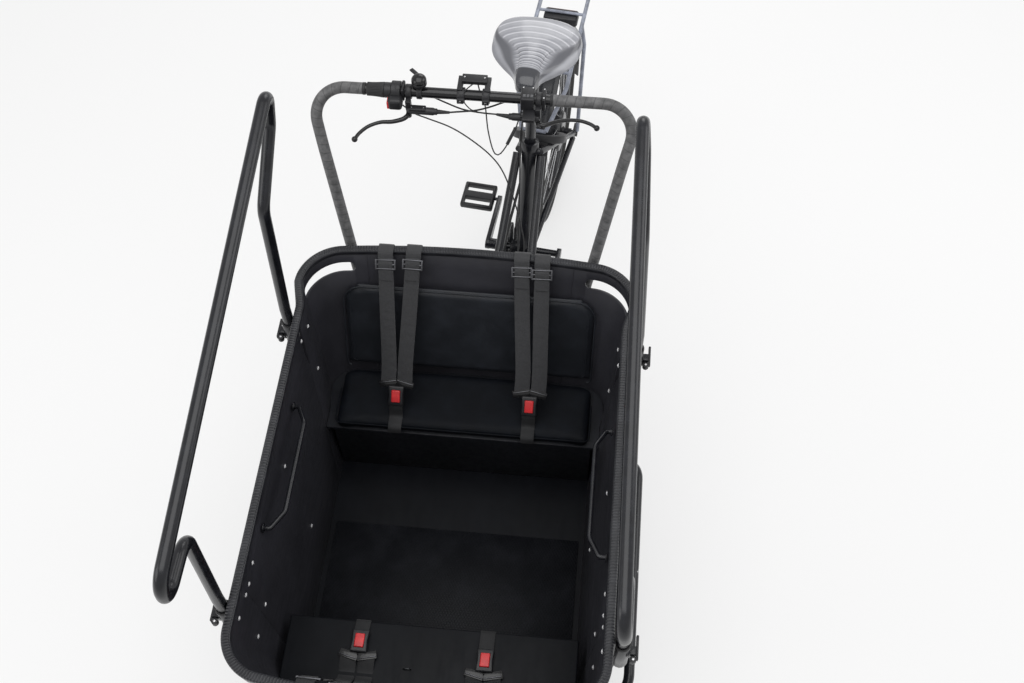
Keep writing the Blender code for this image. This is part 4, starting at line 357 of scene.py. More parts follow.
def barTape():
    # wrapped leather tape: each turn overlaps the last, with pores and a mottled tone; each turn's edge is
    # darkened with painted shade in the step where it laps the last
    paint = Paint("barTape", (0.10, 0.10, 0.10), 0.5)
    where = paint.place(source="UV")
    run = paint.along(0, where)
    around = paint.along(1, where)
    turn = (run * (1 / 0.021) + around).part()
    # painted shade: a dark band along each turn's edge, in the step of the overlap
    edge = 1 - turn.between(0.0, 0.14)
    pores = paint.cells(520.0)
    mottle = paint.noise(60.0, 5.0, 0.65)
    body = paint.mixed(mottle.between(0.3, 0.75), (0.078, 0.078, 0.080), (0.165, 0.164, 0.166))
    paint.put("Base Color", paint.mixed(edge * 0.75, body, (0.032, 0.032, 0.034)))
    paint.put("Roughness", 0.40 + mottle * 0.2)
    fine = paint.bump(pores, 0.0003, 0.5)
    paint.bump(turn ** 0.5, 0.0011, 0.9, fine)
    return paint.material


def saddleCover():
    # glossy silver cover with a dark nose cap; bowed ridges over the crown with painted highlights on their
    # crests and painted shadow lines beside them, and painted shade on the flanks under the crown's edge and
    # on the lower skirts
    paint = Paint("saddleCover", (0.36, 0.365, 0.385), 0.28, Coat_Weight=0.5, Coat_Roughness=0.10)
    where = paint.place(turn=(0, 0, 0.10821), shift=(-0.05832, -0.00316, 0.0))
    x = paint.along(0, where)
    y = paint.along(1, where)
    below = 0.957 - paint.along(2, where)
    run = (y + x * x * 2.8 - 0.422).most(0.0)
    phase = (run ** 0.5 * 34.0).part()
    # painted highlight along each ridge's crest; the same mask gives the ridge its bump
    light = (phase - 0.5).size().between(0.34, 0.48)
    # painted shadow line beside each ridge, stronger towards the nose
    dark = (phase - 0.32).size()
    dark = 1 - dark.between(0.05, 0.14)
    field = (1 - below.between(0.012, 0.018)) * y.between(0.426, 0.430)
    neck = 1 - y.between(0.480, 0.515)
    nose = (1 - y.between(0.422, 0.426)) * (1 - x.size().between(0.029, 0.033))
    # painted shade: a dark band on the flanks just under the crown's edge, a lighter gap below it, and the
    # lower skirts a little darker
    shade = below.between(0.013, 0.019) * (1 - below.between(0.023, 0.029)) * (1 - y.between(0.565, 0.595))
    lower = below.between(0.030, 0.036) * (1 - y.between(0.57, 0.60)) * 0.35
    cloud = paint.noise(20.0, 4.0, 0.6)
    body = paint.mixed(cloud.between(0.3, 0.75), (0.33, 0.335, 0.365), (0.39, 0.395, 0.425))
    lined = paint.mixed(light * field * 0.8, body, (0.66, 0.66, 0.70))
    lined = paint.mixed(dark * field * (neck * 0.6 + 0.18), lined, (0.12, 0.122, 0.14))
    sides = paint.mixed((shade * 0.9).most(lower), lined, (0.10, 0.102, 0.116))
    paint.put("Base Color", paint.mixed(nose, sides, (0.050, 0.052, 0.060)))
    paint.put("Roughness", 0.17 + cloud * 0.12)
    fine = paint.bump(paint.cells(700.0), 0.00012, 0.3)
    paint.bump(light * field, 0.0008, 0.6, fine)
    return paint.material


def lampLens():
    paint = Paint("lampLens", (0.16, 0.008, 0.006), 0.16, Coat_Weight=0.6)
    where = paint.place(turn=(0, 0, 0.10821))
    prisms = (paint.along(0, where) * 1500.0).wave() * (paint.along(2, where) * 1500.0).wave()
    paint.put("Base Color", paint.mixed(prisms.between(-1.0, 1.0), (0.10, 0.005, 0.004), (0.22, 0.012, 0.01)))
    paint.bump(prisms, 0.0004, 0.6)
    return paint.material


def treadRubber(centre, turn):
    # blocks round the tread; the pattern reads the angle about the wheel's axle
    paint = Paint("treadRubber", (0.018, 0.018, 0.018), 0.75)
    where = paint.place(turn=(0, 0, turn), shift=centre)
    x = paint.along(0, where)
    y = paint.along(1, where)
    z = paint.along(2, where)
    angle = y.maths("ARCTAN2", y, z)
    side = x.size()
    blocks = ((angle * (150 / math.tau) + side * 60.0).part() - 0.5).size().between(0.12, 0.22)
    grooves = ((side * 160.0).part() - 0.5).size().between(0.1, 0.2)
    tread = 1 - side.between(0.017, 0.0185)
    lines = ((side * 700.0).wave() * 0.5 + 0.5) * (1 - tread) * 0.2
    dust = paint.noise(60.0, 5.0, 0.65)
    paint.put("Base Color", paint.mixed(dust.between(0.4, 0.85), (0.014, 0.014, 0.014), (0.04, 0.039, 0.037)))
    paint.put("Roughness", 0.65 + dust * 0.2)
    paint.bump((blocks * grooves) * tread + lines, 0.0022, 0.9)
    return paint.material


looks = {
    "black_paint": powderCoat("powderCoat", (0.008, 0.0085, 0.011), 0.24),
    "black_board": boardSkin("boardSkin", (0.0245, 0.0245, 0.0300), 0.5),
    "black_rubber": rubber("softRubber", (0.014, 0.014, 0.015), 0.55),
    "tyre_rubber": rubber("tyreRubber", (0.018, 0.018, 0.018), 0.75),
    "black_cushion": leatherette("cushionCover", (0.0135, 0.0155, 0.0200), 0.48, 0.45),
    "web_black": webbing("webbing", (0.015, 0.0155, 0.0175), (0.034, 0.0345, 0.0385), 0.40),
    "button_red": plastic("redPlastic", (0.56, 0.026, 0.030), 0.34, 0.25),
    "black_plastic": plastic("blackPlastic", (0.013, 0.013, 0.015), 0.42),
    "bar_tape": barTape(),
    "saddle_grey": saddleCover(),
    "lamp_red": lampLens(),
}
brightSteel = steel("brightSteel", (0.62, 0.62, 0.63), 0.24)
darkSteel = steel("darkSteel", (0.10, 0.10, 0.105), 0.34)
gloss = plastic("glossBlack", (0.010, 0.010, 0.011), 0.16, 0.1)
# a darker copy of the same webbing for the front harness and the foot straps: painted shade
shadedWebbing = webbing("shadedWebbing", (0.0055, 0.0058, 0.007), (0.0125, 0.013, 0.015), 0.12)
satinGrey = steel("satinGrey", (0.125, 0.126, 0.135), 0.30)
zinc = plastic("zinc", (0.62, 0.62, 0.63), 0.34, 0.2)
# darker copies of the board and cushion finishes for the seat pad, the floor and the benches: painted shade,
# as less light falls on these flat surfaces than on the walls; each also has a lower sheen
shadedLowSheen = {
    "seat": leatherette("seatCover", (0.0042, 0.0052, 0.0074), 0.5, 0.11),
    "floor": boardSkin("floorSkin", (0.0042, 0.0048, 0.0066), 0.11),
    "rearBench": boardSkin("rearBenchSkin", (0.0135, 0.0145, 0.0180), 0.32),
    "bench": boardSkin("benchSkin", (0.0058, 0.0064, 0.0080), 0.12),
}
barPaint = powderCoat("barPaint", (0.007, 0.007, 0.008), 0.15)
rackPaint = powderCoat("rackPaint", (0.20, 0.215, 0.26), 0.3)
greyPlastic = plastic("greyPlastic", (0.085, 0.086, 0.092), 0.38)
print("stage: materials")


# modelling helpers

def nothingSelected():
    bpy.ops.object.select_all(action="DESELECT")


def only(piece):
    nothingSelected()
    piece.select_set(True)
    bpy.context.view_layer.objects.active = piece


def worked(piece, kind, **settings):
    # add a modifier and apply it
    only(piece)
    step = piece.modifiers.new("step", kind)
    for name, value in settings.items():
        setattr(step, name, value)
    bpy.ops.object.modifier_apply(modifier=step.name)
    return piece


def rounded(piece, width, segments=3, angle=30.0):
    return worked(piece, "BEVEL", width=width, segments=segments, limit_method="ANGLE",
                  angle_limit=math.radians(angle), harden_normals=False)


def smoothed(piece, angle=35.0):
    only(piece)
    bpy.ops.object.shade_smooth_by_angle(angle=math.radians(angle))
    return piece


def placed(piece, place=None):
    # put the object's place into its mesh
    if place is not None:
        piece.matrix_world = place
    only(piece)
    bpy.ops.object.transform_apply(location=True, rotation=True, scale=True)
    return piece


def merged(name, pieces):
    nothingSelected()
    for piece in pieces:
        piece.select_set(True)
    bpy.context.view_layer.objects.active = pieces[0]
    if len(pieces) > 1:
        bpy.ops.object.join()
    pieces[0].name = name
    return pieces[0]


def copied(piece, place):
    made = piece.copy()
    made.data = piece.data.copy()
    bpy.context.scene.collection.objects.link(made)
    return placed(made, place)


def settled(piece, name, look, body, stands=(), angle=35.0):
    # name it, paint it and let it ride on its body
    piece.name = name
    smoothed(piece, angle)
    piece.data.materials.clear()
    piece.data.materials.append(look)
    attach(piece, body)
    if stands:
        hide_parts(*stands)
    return piece


mergeClose = (bpy.ops.mesh.remove_doubles, {"threshold": 0.00001})
faceOutwards = (bpy.ops.mesh.normals_make_consistent, {"inside": False})


def meshSteps(piece, *steps):
    # edit-mode tools, each on the whole mesh
    only(piece)
    bpy.ops.object.mode_set(mode="EDIT")
    for tool, settings in steps:
        bpy.ops.mesh.select_all(action="SELECT")
        tool(**settings)
    bpy.ops.object.mode_set(mode="OBJECT")
    return piece


def cleanCopy(node):
    # a merged copy of a CAD node's mesh
    made = bpy.data.objects.new(node + "Copy", nodes[node].data.copy())
    bpy.context.scene.collection.objects.link(made)
    made.data.materials.clear()
    return meshSteps(made, (bpy.ops.mesh.customdata_custom_splitnormals_clear, {}),
                     (bpy.ops.mesh.remove_doubles, {"threshold": 0.00002}),
                     (bpy.ops.mesh.dissolve_limited, {"angle_limit": math.radians(0.6)}))


def tube(name, points, radius, around=6, closed=False, swell=None):
    nothingSelected()
    bpy.ops.curve.primitive_nurbs_path_add()
    path = bpy.context.object
    path.name = name
    curve = path.data
    curve.splines.clear()
    line = curve.splines.new("POLY")
    line.points.add(len(points) - 1)
    for i, (knot, point) in enumerate(zip(line.points, points)):
        knot.co = (*point, 1.0)
        knot.radius = swell[i] if swell else 1.0
    line.use_cyclic_u = closed
    curve.bevel_depth = radius
    curve.bevel_resolution = around
    curve.use_fill_caps = not closed
    only(path)
    bpy.ops.object.convert(target="MESH")
    made = meshSteps(bpy.context.object, mergeClose, faceOutwards)
    # the map's first number becomes metres along the tube
    lengths = [0.0]
    for a, b in zip(points, points[1:]):
        lengths.append(lengths[-1] + (Vector(b) - Vector(a)).length)
    steps = len(points) - (0 if closed else 1)
    sheet = made.data.uv_layers[0].data
    for loop in sheet:
        at = loop.uv.x * steps
        low = min(int(at), len(lengths) - 1)
        high = min(low + 1, len(lengths) - 1)
        loop.uv.x = lengths[low] + (lengths[high] - lengths[low]) * (at - low)
    return made


def bentPath(points, radii, steps=10):
    # a path whose inner corners are bends
    corners = [Vector(point) for point in points]
    path = [corners[0]]
    for before, corner, after, radius in zip(corners, corners[1:], corners[2:], radii):
        back = (before - corner).normalized()
        ahead = (after - corner).normalized()
        half = back.angle(ahead) / 2
        reach = radius / math.tan(half)
        centre = corner + (back + ahead).normalized() * radius / math.sin(half)
        first = corner + back * reach - centre
        last = corner + ahead * reach - centre
        sweep = first.angle(last)
        for i in range(steps + 1):
            share = i / steps
            turned = first * math.sin((1 - share) * sweep) + last * math.sin(share * sweep)
            path.append(centre + turned / math.sin(sweep))
    path.append(corners[-1])
    return path


def smoothPath(points, steps=6):
    # a curve through its points
    knots = [Vector(point) for point in points]
    padded = [2 * knots[0] - knots[1]] + knots + [2 * knots[-1] - knots[-2]]
    path = []
    for a, b, c, d in zip(padded, padded[1:], padded[2:], padded[3:]):
        for i in range(steps):
            t = i / steps
            path.append(0.5 * (2 * b + (c - a) * t + (2 * a - 5 * b + 4 * c - d) * t ** 2
                               + (3 * b - a - 3 * c + d) * t ** 3))
    path.append(knots[-1])
    return path


def evenPath(points, spacing):
    # the same path with points at even distances
    knots = [Vector(point) for point in points]
    path = [knots[0]]
    left = spacing
    for a, b in zip(knots, knots[1:]):
        gap = (b - a).length
        at = left
        while at <= gap:
            path.append(a + (b - a) * (at / gap))
            at += spacing
        left = at - gap
    if (path[-1] - knots[-1]).length > spacing * 0.3:
        path.append(knots[-1])
    return path


def block(low, high, bevel=0.001, segments=3):
    nothingSelected()
    middle = (Vector(low) + Vector(high)) / 2
    bpy.ops.mesh.primitive_cube_add(size=1.0, location=middle)
    made = bpy.context.object
    made.scale = Vector(high) - Vector(low)
    placed(made)
    if bevel:
        rounded(made, bevel, segments)
    return made


def cylinder(start, end, radius, bevel=0.0006, around=32, taper=None):
    nothingSelected()
    start, end = Vector(start), Vector(end)
    bpy.ops.mesh.primitive_cone_add(vertices=around, radius1=radius, radius2=taper or radius,
                                    depth=(end - start).length)
    made = bpy.context.object
    turn = (end - start).to_track_quat("Z", "Y").to_matrix().to_4x4()
    placed(made, Matrix.Translation((start + end) / 2) @ turn)
    if bevel:
        rounded(made, bevel, 2, 50.0)
    return made


def turnedPart(profile, place, around=64):
    # spin a profile of (radius, height) about Z; it closes on the axis or on itself
    nothingSelected()
    mesh = bpy.data.meshes.new("profile")
    last = len(profile) - 1
    links = [(i, i + 1) for i in range(last)]
    if profile[0][0] > 0 or profile[-1][0] > 0:
        links.append((last, 0))
    mesh.from_pydata([(radius, 0.0, height) for radius, height in profile], links, [])
    made = bpy.data.objects.new("turned", mesh)
    bpy.context.scene.collection.objects.link(made)
    spun = (bpy.ops.mesh.spin, {"steps": around, "angle": math.tau, "center": (0, 0, 0), "axis": (0, 0, 1)})
    flat = (bpy.ops.mesh.dissolve_degenerate, {"threshold": 0.000001})
    meshSteps(made, spun, mergeClose, flat, faceOutwards)
    return placed(made, place)


def skin(name, rings, closeRings=False, closeAcross=False, capped=False):
    # faces between rings of points; the UV map is in metres along and across
    mesh = bpy.data.meshes.new(name)
    width = len(rings[0])
    points = [tuple(point) for ring in rings for point in ring]
    faces = []
    rows = len(rings) if closeRings else len(rings) - 1
    columns = width if closeAcross else width - 1
    for i in range(rows):
        for j in range(columns):
            a = i * width + j
            b = i * width + (j + 1) % width
            c = (i + 1) % len(rings) * width + (j + 1) % width
            d = (i + 1) % len(rings) * width + j
            faces.append((a, b, c, d))
    mesh.from_pydata(points, [], faces)
    along = [0.0]
    for i in range(rows):
        along.append(along[-1] + (Vector(rings[(i + 1) % len(rings)][0]) - Vector(rings[i][0])).length)
    across = [0.0]
    for j in range(columns):
        across.append(across[-1] + (Vector(rings[0][(j + 1) % width]) - Vector(rings[0][j])).length)
    sheet = mesh.uv_layers.new(name="UVMap").data
    for i in range(rows):
        for j in range(columns):
            face = mesh.polygons[i * columns + j]
            corners = ((i, j), (i, j + 1), (i + 1, j + 1), (i + 1, j))
            for loop, (r, c) in zip(face.loop_indices, corners):
                sheet[loop].uv = (along[r], across[c])
    made = bpy.data.objects.new(name, mesh)
    bpy.context.scene.collection.objects.link(made)
    meshSteps(made, mergeClose)
    if capped:
        bpy.ops.object.mode_set(mode="EDIT")
        bpy.ops.mesh.select_all(action="DESELECT")
        bpy.ops.mesh.select_non_manifold()
        bpy.ops.mesh.edge_face_add()
        bpy.ops.object.mode_set(mode="OBJECT")
    return meshSteps(made, faceOutwards)


def cutHole(piece, tool):
    # take the tool's shape out of the piece
    only(piece)
    step = piece.modifiers.new("hole", "BOOLEAN")
    step.operation = "DIFFERENCE"
    step.solver = "EXACT"
    step.object = tool
    bpy.ops.object.modifier_apply(modifier=step.name)
    bpy.data.objects.remove(tool, do_unlink=True)
    return piece


def dressed(node, name, look, body, bevel=0.0006, segments=2, angle=40.0, smooth=45.0):
    # a CAD node with softened edges and smooth round faces
    piece = cleanCopy(node)
    if bevel:
        rounded(piece, bevel, segments, angle)
    return settled(piece, name, look, body, [node], smooth)


# box

boxShape = {
    "rim": {"halfWidth": 0.401, "rearY": 0.0, "frontY": -1.125, "rearRadius": 0.116, "frontRadius": 0.105,
            "rearBow": 0.018, "frontBow": 0.023, "flare": 0.017, "flareEndY": -0.205,
            "jointRearY": -0.250, "jointFrontY": -0.900},
    "floor": {"halfWidth": 0.340, "rearY": -0.235, "frontY": -0.985, "rearRadius": 0.055,
              "frontRadius": 0.055, "rearBow": 0.001, "frontBow": 0.001, "flare": 0.0,
              "flareEndY": -0.335, "jointRearY": -0.400, "jointFrontY": -0.915},
    # places across the rear edge, on a box whose corners start at cornerX
    "rearXs": (0.0, 0.04, 0.08, 0.12, 0.16, 0.20, 0.235), "jointX": 0.262, "slotStartX": 0.294,
    "cornerX": 0.316, "cornerSteps": 36, "middleY": -0.56,
    "top": 0.7367, "bottom": 0.190, "panelInset": 0.011, "panelThickness": 0.007,
    "rimTop": 0.752, "rimWidth": 0.021, "trimHeight": 0.015, "slotMiddle": 0.699, "slotHalfHeight": 0.013,
}


def boxOutline(line):
    # half of the outline from above, with its numbered places
    half, flare, steps = line["halfWidth"], line["flare"], boxShape["cornerSteps"]
    radius, bow = line["rearRadius"], line["rearBow"]
    slope = math.atan(2 * bow / half)
    rearX = half + flare - radius * (1 - math.sin(slope))
    scale = rearX / boxShape["cornerX"]
    xs = list(boxShape["rearXs"]) + [boxShape["jointX"] * scale]
    marks = {"rearJoint": len(xs) - 1, "slotStart": len(xs)}
    start = boxShape["slotStartX"] * scale
    xs += [start + (rearX - start) * share for share in (0, 0.02, 0.08, 0.18, 0.32, 0.5, 0.7, 0.85, 1.0)]
    points = [(x, line["rearY"] - bow * (x / rearX) ** 2) for x in xs]
    middleX = rearX - radius * math.sin(slope)
    middleY = line["rearY"] - bow - radius * math.cos(slope)
    for i in range(1, steps + 1):
        angle = (math.pi / 2 - slope) * (1 - i / steps)
        points.append((middleX + radius * math.cos(angle), middleY + radius * math.sin(angle)))
    marks["slotEnd"] = len(points) - 1
    for i in range(1, 9):
        share = i / 8
        left = (1 - share) ** 1.3 * (1 + 0.4 * share)
        points.append((half + flare * left, middleY + (line["flareEndY"] - middleY) * share))
    marks["sideRear"] = len(points)
    marks["sideFront"] = len(points) + 1
    points += [(half, line["jointRearY"]), (half, line["jointFrontY"])]
    radius, bow = line["frontRadius"], line["frontBow"]
    slope = math.atan(2 * bow / half)
    frontX = half - radius * (1 - math.sin(slope))
    middleY = line["frontY"] + bow + radius * math.cos(slope)
    for i in range(steps + 1):
        angle = -(math.pi / 2 - slope) * i / steps
        points.append((half - radius + radius * math.cos(angle), middleY + radius * math.sin(angle)))
    for share in (5 / 6, 4 / 6, 3 / 6, 2 / 6, 1 / 6, 0.0):
        points.append((frontX * share, line["frontY"] + bow * share ** 2))
    return points, marks


def wholeLoop(half):
    # the half outline and its mirror image
    return half + [(-x, y) for x, y in reversed(half[1:-1])]


def movedIn(loop, distance):
    # a closed outline, parallel to the first one
    moved = []
    for i, spot in enumerate(loop):
        here = Vector(spot)
        ahead = (Vector(loop[(i + 1) % len(loop)]) - here).normalized()
        back = (here - Vector(loop[i - 1])).normalized()
        normal = Vector((ahead.y + back.y, -ahead.x - back.x)).normalized()
        edge = Vector((ahead.y, -ahead.x))
        moved.append(tuple(here + normal * distance / normal.dot(edge)))
    return moved


rimHalf, marks = boxOutline(boxShape["rim"])
rimLoop = wholeLoop(rimHalf)
floorLoop = wholeLoop(boxOutline(boxShape["floor"])[0])
wallTop = movedIn(rimLoop, boxShape["panelInset"])
loopCount = len(rimLoop)


def wallPoint(column, z):
    # a point on the wall's outside, between the rim's outline and the floor's
    share = (boxShape["top"] - z) / (boxShape["top"] - boxShape["bottom"])
    top, low = wallTop[column % loopCount], floorLoop[column % loopCount]
    return Vector((top[0] + (low[0] - top[0]) * share, top[1] + (low[1] - top[1]) * share, z))


def wallPanel(name, columns, slot=None):
    # one bent board; where it has a hand slot, two rows part into a long round hole
    half = boxShape["slotHalfHeight"]
    middle = boxShape["slotMiddle"]
    lifts = [0.0] * len(columns)
    if slot:
        first, last = slot
        runs = [0.0]
        for i in range(first, last):
            runs.append(runs[-1] + (wallPoint(columns[i + 1], middle) - wallPoint(columns[i], middle)).length)
        for i, run in enumerate(runs):
            near = min(run, runs[-1] - run, half)
            lifts[first + i] = math.sqrt(max(0.0, half ** 2 - (half - near) ** 2))
    lines = [[boxShape["top"]] * len(columns), [middle + lift for lift in lifts],
             [middle - lift for lift in lifts]]
    lines += [[middle - (middle - boxShape["bottom"]) * share] * len(columns)
              for share in (0.2, 0.45, 0.7, 1.0)]
    rings = [[wallPoint(column, z) for column, z in zip(columns, line)] for line in lines]
    panel = meshSteps(merged(name, [skin(name, rings[:2]), skin(name + "Low", rings[2:])]), mergeClose)
    facing = sum(face.normal.dot(face.center - Vector((0, boxShape["middleY"], face.center.z)))
                 for face in panel.data.polygons)
    if facing < 0:
        meshSteps(panel, (bpy.ops.mesh.flip_normals, {}))
    worked(panel, "SOLIDIFY", thickness=boxShape["panelThickness"], offset=-1.0, use_even_offset=True)
    return rounded(panel, 0.0011, 2, 40.0)


def mirrored(columns):
    return [loopCount - i for i in reversed(columns)]


def makePanels():
    side = list(range(marks["sideRear"], marks["sideFront"] + 1))
    rear = list(range(-marks["rearJoint"], marks["rearJoint"] + 1))
    front = list(range(marks["sideFront"], loopCount - marks["sideFront"] + 1))
    corner = list(range(marks["rearJoint"], marks["sideRear"] + 1))
    last = len(corner) - 1
    slot = (marks["slotStart"] - marks["rearJoint"], marks["slotEnd"] - marks["rearJoint"])
    for name, node, columns, hole in (
            ("sideBoardLeft", "side_panel_left", side, None),
            ("sideBoardRight", "side_panel_right", mirrored(side), None),
            ("rearBoard", "rear_panel", rear, None),
            ("frontBoard", "front_panel", front, None),
            ("cornerBoardLeft", "corner_panel_left", corner, slot),
            ("cornerBoardRight", "corner_panel_right", mirrored(corner), (last - slot[1], last - slot[0]))):
        settled(wallPanel(name, columns, hole), name, looks["black_board"], "box_half", [node])


def makeRim():
    # rubber over the rim: a rounded section carried round it
    wide, high, low = boxShape["rimWidth"], boxShape["rimTop"], boxShape["rimTop"] - boxShape["trimHeight"]
    section = [(0.0014, low), (0.0004, low + 0.0015), (0.0, low + 0.004), (0.0, high - 0.006),
               (0.0009, high - 0.0028), (0.003, high - 0.0008), (0.006, high), (0.0125, high),
               (0.0155, high - 0.0006), (0.0185, high - 0.0012), (wide - 0.0007, high - 0.0032),
               (wide, high - 0.006), (wide, low + 0.003), (wide - 0.0012, low)]
    lines = [[Vector((x, y, z)) for x, y in movedIn(rimLoop, distance)] for distance, z in section]
    rings = [[line[i] for line in lines] for i in range(loopCount)]
    trim = skin("rimRubber", rings, closeRings=True, closeAcross=True)
    settled(trim, "rimRubber", ribbedTrim(), "box_half", ["rim_trim"], 60.0)
    band = rounded(cleanCopy("rim_frame"), 0.0006, 2, 40.0)
    settled(band, "rimBand", looks["black_paint"], "box_half", ["rim_frame"], 50.0)


makePanels()
makeRim()
print("stage: box")


# seats

cushionShape = {
    "seat": {"wide": 0.328, "front": -0.346, "corner": 0.016, "air": 0.0155, "low": 0.4025,
             "high": 0.4285, "pressure": 3.5, "cap": 0.0050},
    "back": {"wide": 0.325, "low": 0.4235, "high": 0.672, "corner": 0.052, "lowCorner": 0.010,
             "thick": 0.013, "lift": 0.0022, "pressure": 3.5, "cap": 0.0055},
    "pipe": 0.0021,
}


def puffed(piece, voxel, pressure, cap):
    # swell the pad with air under its cover, no further than the cap
    worked(piece, "REMESH", mode="VOXEL", voxel_size=voxel)
    start = [vert.co.copy() for vert in piece.data.vertices]
    only(piece)
    bpy.ops.object.modifier_add(type="CLOTH")
    cloth = piece.modifiers[-1]
    cloth.settings.use_pressure = True
    cloth.settings.uniform_pressure_force = pressure
    cloth.settings.tension_stiffness = 25.0
    cloth.settings.bending_stiffness = 0.6
    cloth.settings.effector_weights.gravity = 0.0
    cloth.collision_settings.use_collision = False
    cloth.collision_settings.use_self_collision = False
    cloth.point_cache.frame_start = 1
    cloth.point_cache.frame_end = 20
    for step in range(1, 21):
        bpy.context.scene.frame_set(step)
    bpy.ops.object.modifier_apply(modifier=cloth.name)
    bpy.context.scene.frame_set(1)
    for vert, first in zip(piece.data.vertices, start):
        move = vert.co - first
        if move.length > cap:
            vert.co = first + move.normalized() * cap
    worked(piece, "SMOOTH", factor=0.5, iterations=7)
    return worked(piece, "SUBSURF", levels=1, render_levels=1)


def roundedRing(wide, low, high, corner, steps=8):
    # an upright outline with two round top corners and small bottom ones
    small = cushionShape["back"]["lowCorner"]
    ring = []
    for x, z, radius, start in ((wide, low, small, -90), (wide, high, corner, 0),
                                (-wide, high, corner, 90), (-wide, low, small, 180)):
        for i in range(steps + 1):
            angle = math.radians(start + 90 * i / steps)
            ring.append((x - math.copysign(radius, x) + radius * math.cos(angle),
                         z + (radius if z == low else -radius) + radius * math.sin(angle)))
    return ring


def backPoint(x, z, depth):
    # a point in front of the leaning rear board
    share = (boxShape["top"] - z) / (boxShape["top"] - boxShape["bottom"])
    rear = wallTop[marks["slotStart"] + 8][1]
    low = floorLoop[marks["slotStart"] + 8][1]
    return Vector((x, rear + (low - rear) * share - boxShape["panelThickness"] - depth, z))


def seatOutline():
    # from above: along the walls at the rear, straight in front with two small corners
    shape = cushionShape["seat"]
    walls = [tuple(wallPoint(column, shape["low"]).xy) for column in range(loopCount)]
    inside = movedIn(walls, boxShape["panelThickness"] + shape["air"])
    wide, front, corner = shape["wide"], shape["front"], shape["corner"]
    line = [inside[column] for column in range(-marks["sideRear"], marks["sideRear"] + 1)]
    line = [Vector((max(-wide, min(wide, x)), y, 0.0)) for x, y in line if y > front + 0.05]
    for side, start in ((1, 0), (-1, -90)):
        for i in range(7):
            angle = math.radians(start - 90 * i / 6)
            line.append(Vector((side * (wide - corner) + corner * math.cos(angle),
                                front + corner + corner * math.sin(angle), 0.0)))
    return [(point.x, point.y) for point in evenPath(line + [line[0]], 0.008)[:-1]]


def makeCushions():
    shape = cushionShape["seat"]
    outline = seatOutline()
    low, high = shape["low"], shape["high"]
    rings = [[(x, y, z) for x, y in movedIn(outline, shrink)] for z, shrink in (
        (low, 0.005), (low + 0.003, 0.0), (high - 0.006, 0.0), (high - 0.002, 0.0025), (high, 0.007))]
    seat = skin("seatPad", rings, closeAcross=True, capped=True)
    puffed(seat, 0.005, shape["pressure"], shape["cap"])
    # the seat pad takes the darker copy of the cover: painted shade
    settled(seat, "seatPad", shadedLowSheen["seat"], "box_half", ["seat_cushion"], 60.0)
    # piping along the front and the sides only
    line = [(x, y, high - 0.0012) for x, y in movedIn(outline, 0.0025)]
    half = len(line) // 4
    line = [point for point in line[half:] + line[:half] if point[1] < -0.236]
    pipe = tube("seatPiping", line, cushionShape["pipe"], 3)
    settled(pipe, "seatPiping", shadedLowSheen["seat"], "box_half")

    look = looks["black_cushion"]
    shape = cushionShape["back"]
    ring = roundedRing(shape["wide"], shape["low"], shape["high"], shape["corner"])
    middle = (shape["low"] + shape["high"]) / 2

    def ringAt(shrink, depth):
        scaleX = 1 - shrink / shape["wide"]
        scaleZ = 1 - shrink / (shape["high"] - middle)
        return [backPoint(x * scaleX, middle + (z - middle) * scaleZ, depth) for x, z in ring]

    rings = [ringAt(shrink, shape["lift"] + shape["thick"] * share) for share, shrink in (
        (0.0, 0.018), (0.25, 0.006), (0.5, 0.0), (0.8, 0.004), (1.0, 0.014))]
    back = skin("backPad", rings, closeAcross=True, capped=True)
    puffed(back, 0.005, shape["pressure"], shape["cap"])
    settled(back, "backPad", look, "box_half", ["back_cushion"], 60.0)
    for name, shrink, depth, radius in (("backPiping", 0.006, 0.019, 1.0), ("backSeam", 0.022, 0.0195, 0.55)):
        pipe = tube(name, ringAt(shrink, depth), cushionShape["pipe"] * radius, 3)
        settled(pipe, name, look, "box_half")


liftRing = {"place": (-0.0485, -0.9619, 0.4440), "radius": 0.009, "rise": 0.006, "lean": -0.001,
            "wire": 0.0013}


def makeBenches():
    # the benches and the floor take darker copies of the board finish: painted shade
    dressed("rear_seat_bench", "rearBench", shadedLowSheen["rearBench"], "box_half", 0.0012)
    dressed("front_bench", "frontBench", shadedLowSheen["bench"], "box_half", 0.0045, 4)
    # the floor is let a little way into the boards, so no light shows beside it
    middle = Matrix.Translation((0, -0.61, 0))
    floor = placed(cleanCopy("floor_panel"),
                   middle @ Matrix.Diagonal((1.005, 1.004, 1, 1)) @ middle.inverted())
    settled(floor, "floorBoard", shadedLowSheen["floor"], "box_half", ["floor_panel"])
    dressed("floor_mat", "floorMat", matRubber(), "box_half", 0.0)
    r = liftRing
    x, y, z = r["place"]
    bow = [(x + r["radius"] * math.cos(math.pi * i / 12), y + r["lean"] * i / 12,
            z + r["rise"] * math.sin(math.pi * i / 12)) for i in range(13)]
    settled(tube("ring", bow, r["wire"], 3), "benchRing", satinGrey, "box_half")


# harnesses

